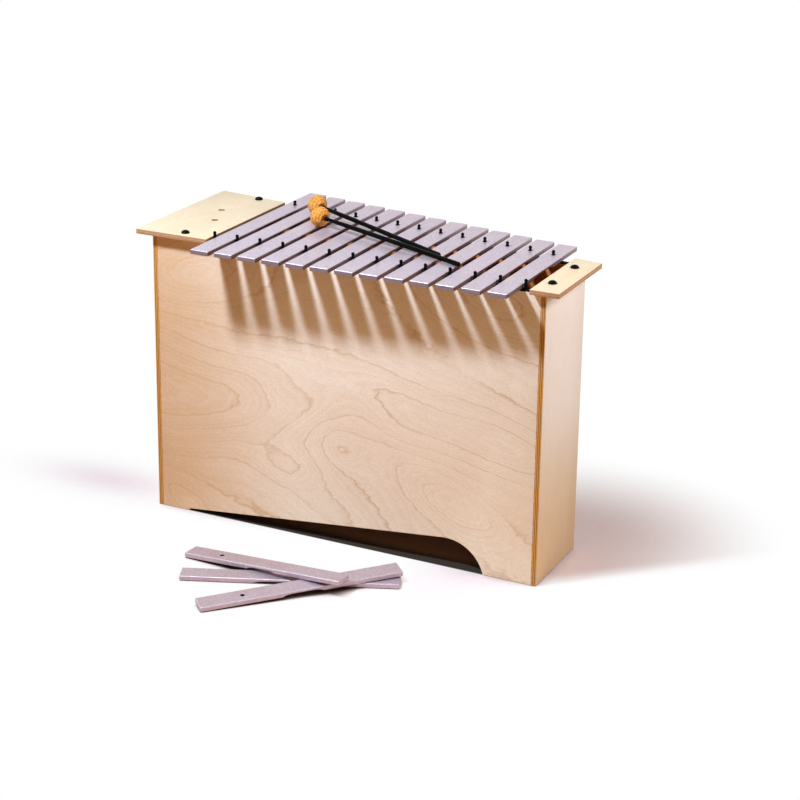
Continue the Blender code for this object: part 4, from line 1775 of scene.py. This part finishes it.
@dataclass(frozen=True)
class Lamp:
    """A square soft lamp. Places are from the box's front left bottom corner, in metres.

    Attributes:
        name: Its name.
        place: Where it hangs.
        aim: What it faces.
        size: Its side, in metres.
        power: Its power, in watts.
        colour: Its colour.
    """

    name: str
    place: tuple[float, float, float]
    aim: tuple[float, float, float]
    size: float
    power: float
    colour: Colour = (1.0, 1.0, 1.0)

    def hang(self, corner: np.ndarray) -> None:
        """Hangs the lamp, turned to what it faces."""
        light = bpy.data.lights.new(self.name, "AREA")
        light.energy, light.size, light.color = self.power, self.size, self.colour
        hung = bpy.data.objects.new(self.name, light)
        hung.location = Vector(tuple(corner)) + Vector(self.place)
        hung.rotation_euler = (Vector(self.aim) - Vector(self.place)).to_track_quat("-Z", "Y").to_euler()
        bpy.context.scene.collection.objects.link(hung)


@dataclass
class Studio:
    """A plain pale floor, a white surround and soft studio light.

    Attributes:
        corner: World place of the box's front left bottom corner.
        lamps: The key from the front left above, whose light falls between the bars' ends, and
            the softer one on the right.
        width: The box's width, in metres.
        left_depth: Its depth on the left.
        right_depth: Its depth on the right.
        fill: Strength of the surround's light.
        fill_colour: Its colour.
        floor_half: Half of the floor's side.
        shade_reach: How far the box's own shade shows beside it.
    """

    corner: np.ndarray
    width: float
    left_depth: float
    right_depth: float
    lamps: tuple[Lamp, ...] = (
        Lamp("key_lamp", (-0.11, -0.88, 2.10), (0.43, 0.0, 0.45), 0.23, 60.0, (0.74, 0.876, 1.0)),
        Lamp("side_lamp", (1.80, 0.30, 1.25), (0.86, 0.10, 0.35), 0.60, 12.5, (0.93, 0.97, 1.0)),
    )
    fill: float = 0.20
    fill_colour: Colour = (1.0, 0.72, 0.44)
    floor_half: float = 9.0
    shade_reach: float = 0.38

    def build(self) -> None:
        """Lays the floor and hangs the lamps."""
        self.lay_floor()
        for lamp in self.lamps:
            lamp.hang(self.corner)
        self.surround()

    def lay_floor(self) -> None:
        """The floor: pale where it is lit, with the object's shadow, and pure white far away."""
        s, z = self.floor_half, -0.0002
        mesh = bpy.data.meshes.new("studio_floor")
        mesh.from_pydata([(-s, -s, z), (s, -s, z), (s, s, z), (-s, s, z)], [], [(0, 1, 2, 3)])
        floor = bpy.data.objects.new("studio_floor", mesh)
        bpy.context.scene.collection.objects.link(floor)
        mesh.materials.append(self.floor_finish())

    def floor_finish(self) -> bpy.types.Material:
        """Pale matt paper, which throws a warm light back. Seen straight by the camera it is
        lifted to white, except in the box's shade and where something rests on it.

        Returns:
            The material.
        """
        made = bpy.data.materials.new("studio_paper")
        made.use_nodes = True
        graph = Graph(made.node_tree)
        shader = made.node_tree.nodes["Principled BSDF"]
        place = graph.vector("SUBTRACT", graph.place(), tuple(self.corner))
        rays = graph.node("LightPath").outputs
        under = self.under_box(graph, place)
        covered, hidden = self.contact(graph)
        far = graph.remap(graph.part(place, "y"), -0.45, -0.05, 1.0, 0.0)
        thrown = graph.mix(far, (0.92, 0.74, 0.56), (0.84, 0.40, 0.10))
        # Painted shade: under the box the floor throws almost no light back.
        thrown = graph.mix(under, thrown, (0.05, 0.03, 0.018))
        # Painted contact shade: where something almost touches, the paper seen is dark brown.
        seen = graph.mix(hidden, (0.86, 0.71, 0.73), (0.08, 0.05, 0.035))
        # Painted shade under the box: darkest just behind the front panel, lighter further in.
        deep = graph.remap(graph.part(place, "y"), 0.02, 0.06)
        painted_under_box_shade = graph.mix(deep, (0.05, 0.036, 0.028), (0.42, 0.29, 0.23))
        seen = graph.mix(under, seen, painted_under_box_shade)
        paper = graph.mix(rays["Is Diffuse Ray"], seen, thrown)
        speck = graph.remap(graph.noise(place, 60.0, 3.0), 0.3, 0.7, 0.985, 1.0)
        graph.feed(shader.inputs["Base Color"], graph.vector("MULTIPLY", paper, graph.spread(speck)))
        shader.inputs["Roughness"].default_value = 0.9
        shader.inputs["Specular IOR Level"].default_value = 0.1

        shade = graph.math("MAXIMUM", self.side_shade(graph, place), covered)
        shade = graph.math("MAXIMUM", shade, under)
        direct = graph.math("MAXIMUM", rays["Is Camera Ray"], rays["Is Transmission Ray"])
        white = graph.node("Emission")
        white.inputs["Strength"].default_value = 1.0
        mixed = graph.node("MixShader")
        graph.feed(mixed.inputs[0], graph.math("MULTIPLY", graph.math("SUBTRACT", 1.0, shade), direct))
        graph.feed(mixed.inputs[1], shader.outputs[0])
        graph.feed(mixed.inputs[2], white.outputs[0])
        out = next(node for node in made.node_tree.nodes if node.type == "OUTPUT_MATERIAL")
        graph.feed(out.inputs["Surface"], mixed.outputs[0])
        return made

    def under_box(self, graph: Graph, place: Socket) -> Socket:
        """Where the floor lies under the box.

        Args:
            graph: The floor's graph.
            place: Place from the box's corner.

        Returns:
            1 there, 0 elsewhere.
        """
        x, y = graph.part(place, "x"), graph.part(place, "y")
        slant = (self.left_depth - self.right_depth) / self.width
        beyond = graph.math("ADD", y, graph.math("MULTIPLY", x, slant))
        within = graph.math("MULTIPLY", graph.remap(x, -0.001, 0.006), graph.remap(y, -0.001, 0.002))
        right = graph.remap(x, self.width - 0.006, self.width + 0.001, 1.0, 0.0)
        within = graph.math("MULTIPLY", within, right)
        back = graph.remap(beyond, self.left_depth - 0.008, self.left_depth + 0.002, 1.0, 0.0)
        return graph.math("MULTIPLY", within, back)

    def side_shade(self, graph: Graph, place: Socket) -> Socket:
        """How much of the shade beside the box shows. On the right it lies behind the line from
        the lamp past the front corner and fades with the distance from the box. On the left it
        is a small patch, which fades as e to the minus squared distance.

        Args:
            graph: The floor's graph.
            place: Place from the box's corner.

        Returns:
            The share, from 0 to 1.
        """
        x, y = graph.part(place, "x"), graph.part(place, "y")
        lamp = self.lamps[0].place
        slope = -lamp[1] / (self.width - lamp[0])
        past = graph.math("SUBTRACT", y, graph.math("MULTIPLY", graph.math("SUBTRACT", x, self.width), slope))
        aside = graph.math("MAXIMUM", graph.math("SUBTRACT", x, self.width), 0.0)
        behind = graph.math("MAXIMUM", graph.math("SUBTRACT", y, self.left_depth - 0.05), 0.0)
        squares = graph.math("MULTIPLY_ADD", aside, aside, graph.math("MULTIPLY", behind, behind))
        away = graph.math("SQRT", squares)
        right = graph.math("MULTIPLY", graph.remap(past, -0.03, 0.07), graph.remap(x, 0.55, 0.80))
        right = graph.math("MULTIPLY", right, graph.remap(away, 0.05, 0.05 + self.shade_reach, 0.95, 0.0))
        offset = graph.vector("SUBTRACT", place, (-0.16, 0.06, 0.0))
        offset = graph.vector("MULTIPLY", offset, (1 / 0.16, 1 / 0.07, 0.0))
        squared = graph.vector("DOT_PRODUCT", offset, offset)
        left = graph.math("EXPONENT", graph.math("MULTIPLY", squared, -1.0))
        return graph.math("MAXIMUM", right, graph.math("MULTIPLY", left, 0.9))

    def contact(self, graph: Graph) -> tuple[Socket, Socket]:
        """How close something rests over the floor.

        Args:
            graph: The floor's graph.

        Returns:
            Where anything is near, which lets the real shade show, and where it almost touches,
            which the paper's colour darkens as painted contact shade, both from 0 to 1.
        """
        open_sky = graph.node("AmbientOcclusion", samples=8)
        open_sky.inputs["Distance"].default_value = 0.05
        share = open_sky.outputs["AO"]
        return graph.remap(share, 0.35, 0.85, 1.0, 0.0), graph.remap(share, 0.20, 0.70, 1.0, 0.0)

    def surround(self) -> None:
        """The surround: soft light, and plain white where the camera or a reflection sees it."""
        world = bpy.data.worlds.new("studio_surround")
        world.use_nodes = True
        graph = Graph(world.node_tree)
        light = world.node_tree.nodes["Background"]
        graph.feed(light.inputs["Color"], self.fill_colour)
        graph.feed(light.inputs["Strength"], self.fill)
        white = graph.node("Background")
        graph.feed(white.inputs["Color"], (1.0, 1.0, 1.0))
        rays = graph.node("LightPath").outputs
        seen = graph.math("MAXIMUM", rays["Is Camera Ray"], rays["Is Transmission Ray"])
        seen = graph.math("MAXIMUM", seen, rays["Is Glossy Ray"])
        mixed = graph.node("MixShader")
        graph.feed(mixed.inputs[0], seen)
        graph.feed(mixed.inputs[1], light.outputs[0])
        graph.feed(mixed.inputs[2], white.outputs[0])
        out = next(node for node in world.node_tree.nodes if node.type == "OUTPUT_WORLD")
        graph.feed(out.inputs["Surface"], mixed.outputs[0])
        bpy.context.scene.world = world


@dataclass
class Viewpoint:
    """The photograph's camera.

    Attributes:
        corner: World place of the box's front left bottom corner.
        away: Its place from there, in metres.
        yaw: Its turn about the upright, in degrees.
        pitch: How far it looks down, in degrees.
        roll: Its lean, in degrees.
        focal: Focal length in picture widths.
        rise: The picture's upward shift, in picture widths.
    """

    corner: np.ndarray
    away: tuple[float, float, float] = (2.15456, -3.30378, 1.71699)
    yaw: float = -25.78
    pitch: float = 17.8146
    roll: float = 0.8057
    focal: float = 2006.9 / 800.0
    rise: float = -0.125

    def build(self) -> None:
        """Sets up the camera."""
        yaw, pitch, roll = (math.radians(v) for v in (self.yaw, self.pitch, self.roll))
        forward = Vector((math.sin(yaw) * math.cos(pitch), math.cos(yaw) * math.cos(pitch), -math.sin(pitch)))
        level = Vector((math.cos(yaw), -math.sin(yaw), 0.0))
        upward = level.cross(forward)
        right = math.cos(roll) * level + math.sin(roll) * upward
        up = math.cos(roll) * upward - math.sin(roll) * level
        lens = bpy.data.cameras.new("photo_camera")
        lens.lens = self.focal * lens.sensor_width
        lens.shift_y = self.rise
        camera = bpy.data.objects.new("photo_camera", lens)
        turn = Matrix((right, up, -forward)).transposed().to_4x4()
        place = Vector(tuple(self.corner)) + Vector(self.away)
        camera.matrix_world = Matrix.Translation(place) @ turn
        bpy.context.scene.collection.objects.link(camera)
        bpy.context.scene.camera = camera


# The whole instrument


# Flame figure of the front veneer: each hill's middle is given along and up from
# the panel's lower left corner, in metres. Rings are counted from the first ring at that corner.
FRONT_FIRST_RING = 6.2
FRONT_RINGS_ALONG = -1.5
FRONT_RINGS_UP = 1.6
FRONT_FIGURE = (
    # The long tongue on the left and the swelling that it grows from.
    Hill((0.20, 0.27), (0.25, 0.095), 15.0, 3.3),
    Hill((-0.05, 0.29), (0.17, 0.12), 0.0, 3.2),
    # The long lines on the right and the S-shaped ones before them.
    Hill((0.80, 0.27), (0.20, 0.070), -15.0, 3.3),
    Hill((0.58, 0.31), (0.12, 0.050), -25.0, 1.5),
    # The lobe low in the middle and the small arch over it.
    Hill((0.42, 0.06), (0.18, 0.070), -30.0, 1.5),
    Hill((0.31, 0.15), (0.08, 0.040), 0.0, 1.2),
    # The hollows between them, with the flame's core and the small closed ring.
    Hill((0.66, 0.14), (0.12, 0.050), -30.0, -1.8),
    Hill((0.43, 0.21), (0.05, 0.040), -20.0, -1.3),
    Hill((0.73, 0.13), (0.06, 0.025), -30.0, -0.8),
    Hill((0.30, 0.31), (0.08, 0.040), 20.0, -0.7),
    Hill((0.56, 0.26), (0.07, 0.030), -20.0, 0.9),
    # The calm stretches near the panel's top and its lower left corner.
    Hill((0.74, 0.57), (0.18, 0.080), -15.0, -3.4),
    Hill((0.10, 0.53), (0.18, 0.070), 15.0, -2.3),
    Hill((0.06, 0.03), (0.12, 0.050), -30.0, -1.5),
)


def front_figure(corner: np.ndarray) -> tuple[Hill, ...]:
    """The front veneer's hills.

    Args:
        corner: World place of the panel's lower left corner.

    Returns:
        The hills in world places on the sheet.
    """
    return tuple(
        replace(hill, centre=(corner[0] + hill.centre[0], corner[2] + hill.centre[1]))
        for hill in FRONT_FIGURE
    )


def build_finishes(corner: np.ndarray, effects: Effects) -> dict[str, bpy.types.Material]:
    """Makes every finish.

    Args:
        corner: World place of the box's front left bottom corner.
        effects: The shared effects.

    Returns:
        Materials by slot, and the screws' own polish.
    """
    kinds = {
        # The warm tint over the front's left third is partly the veneer's own tone and partly painted shade.
        "birch_front": Birch(
            "birch_front", Grain.ALONG_BOX, (0.92, 0.80, 0.71), (0.68, 0.44, 0.27), (0.58, 0.32, 0.14),
            hills=front_figure(corner),
            first_ring=FRONT_FIRST_RING - FRONT_RINGS_ALONG * corner[0] - FRONT_RINGS_UP * corner[2],
            ring_gap=1 / FRONT_RINGS_UP, ring_slope=FRONT_RINGS_ALONG / FRONT_RINGS_UP, warp=0.35, fray=0.30,
            line_strength=0.55, fine_strength=0.22, streak_length=150.0, streak_depth=0.07,
            warm_from=corner[0] + 0.02, warm_to=corner[0] + 0.36, warm_share=0.80, patch_share=0.14,
        ),
        # Painted shade: the warm tint makes the side darker and warmer towards the bottom.
        "birch_side": Birch(
            "birch_side", Grain.UPRIGHT, (0.90, 0.81, 0.77), (0.74, 0.52, 0.32), (0.60, 0.38, 0.20),
            ring_gap=0.012, warp=4.4, fray=0.4, line_strength=0.12, streak_depth=0.04,
            warm_from=0.02, warm_to=0.40, warm_share=0.80, patch_share=0.18,
        ),
        "birch_board": Birch(
            "birch_board", Grain.FRONT_TO_BACK, (0.72, 0.56, 0.38), (0.67, 0.49, 0.30), (0.55, 0.35, 0.17),
            ring_gap=0.022, ring_slope=0.05, warp=4.8, fray=0.4, line_strength=0.20,
            edge_pale=(0.60, 0.37, 0.24), edge_dark=(0.40, 0.22, 0.12),
            burnt=(0.44, 0.16, 0.025), rim=0.37,
        ),
        # Painted shade: the inside's unlacquered wood colours are darkened.
        "birch_inside": Birch(
            "birch_inside", Grain.BOARD_ALONG_BOX,
            (0.34, 0.14, 0.036), (0.27, 0.10, 0.026), (0.16, 0.06, 0.014),
            ring_gap=0.018, ring_slope=0.08, warp=5.6, fray=0.5, line_strength=0.5, rough=0.6, coat=0.0,
        ),
        "bar_paint": BarLacquer(),
        "black_rubber": BlackFinish(
            "black_rubber", (0.004, 0.004, 0.004), (0.02, 0.02, 0.018),
            0.70, 0.04, 1400.0, 0.00010, 0.0, 0.3),
        "black_pin": BlackFinish(
            "black_pin", (0.002, 0.002, 0.002), (0.015, 0.015, 0.015),
            0.38, 0.03, 2600.0, 0.00003, 0.0, 0.3),
        "black_gloss": BlackFinish(
            "black_gloss", (0.002, 0.002, 0.002), (0.015, 0.015, 0.015),
            0.20, 0.03, 700.0, 0.00001, 0.0, 0.1),
        "screw_gloss": BlackFinish(
            "screw_gloss", (0.001, 0.001, 0.001), (0.01, 0.01, 0.01),
            0.10, 0.04, 700.0, 0.00001, 0.0, 0.1),
        "orange_yarn": Yarn(),
    }
    return {slot: finish.build(effects) for slot, finish in kinds.items()}


def dress_carried_over(frame: dict, dress: dict[str, bpy.types.Material]) -> None:
    """Gives every CAD node the finish of its slot, also where a piece stands for it.

    Args:
        frame: The loaded frame.
        dress: Materials by slot.
    """
    for subpart in frame["record"]["subparts"]:
        slots = frame["nodes"][subpart["node"]].data.materials
        slots.clear()
        slots.append(dress[subpart["material_slot"]])


def main() -> None:
    """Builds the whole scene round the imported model."""
    logging.basicConfig(level=logging.INFO, format="%(name)s %(message)s")
    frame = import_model()
    cad = Cad(frame)
    corner = np.array(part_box("left_side_panel")[0])
    slots = {row["node"]: row["material_slot"] for row in frame["record"]["subparts"]}

    dress = build_finishes(corner, Effects())
    dress_carried_over(frame, dress)
    Woodwork(cad).build(dress, slots)
    ToneBars(cad).build(dress["bar_paint"])
    Pins().build(dress["black_pin"])
    DomedScrews().build(dress["screw_gloss"])
    Mallets(cad).build(dress["orange_yarn"], dress["black_gloss"])

    left, right = (np.array(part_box(f"{side}_side_panel")) for side in ("left", "right"))
    Studio(corner, right[1, 0] - left[0, 0], left[1, 1] - left[0, 1], right[1, 1] - right[0, 1]).build()
    Viewpoint(corner).build()
    bpy.context.scene.view_settings.view_transform = "Standard"


if __name__ == "__main__":
    main()
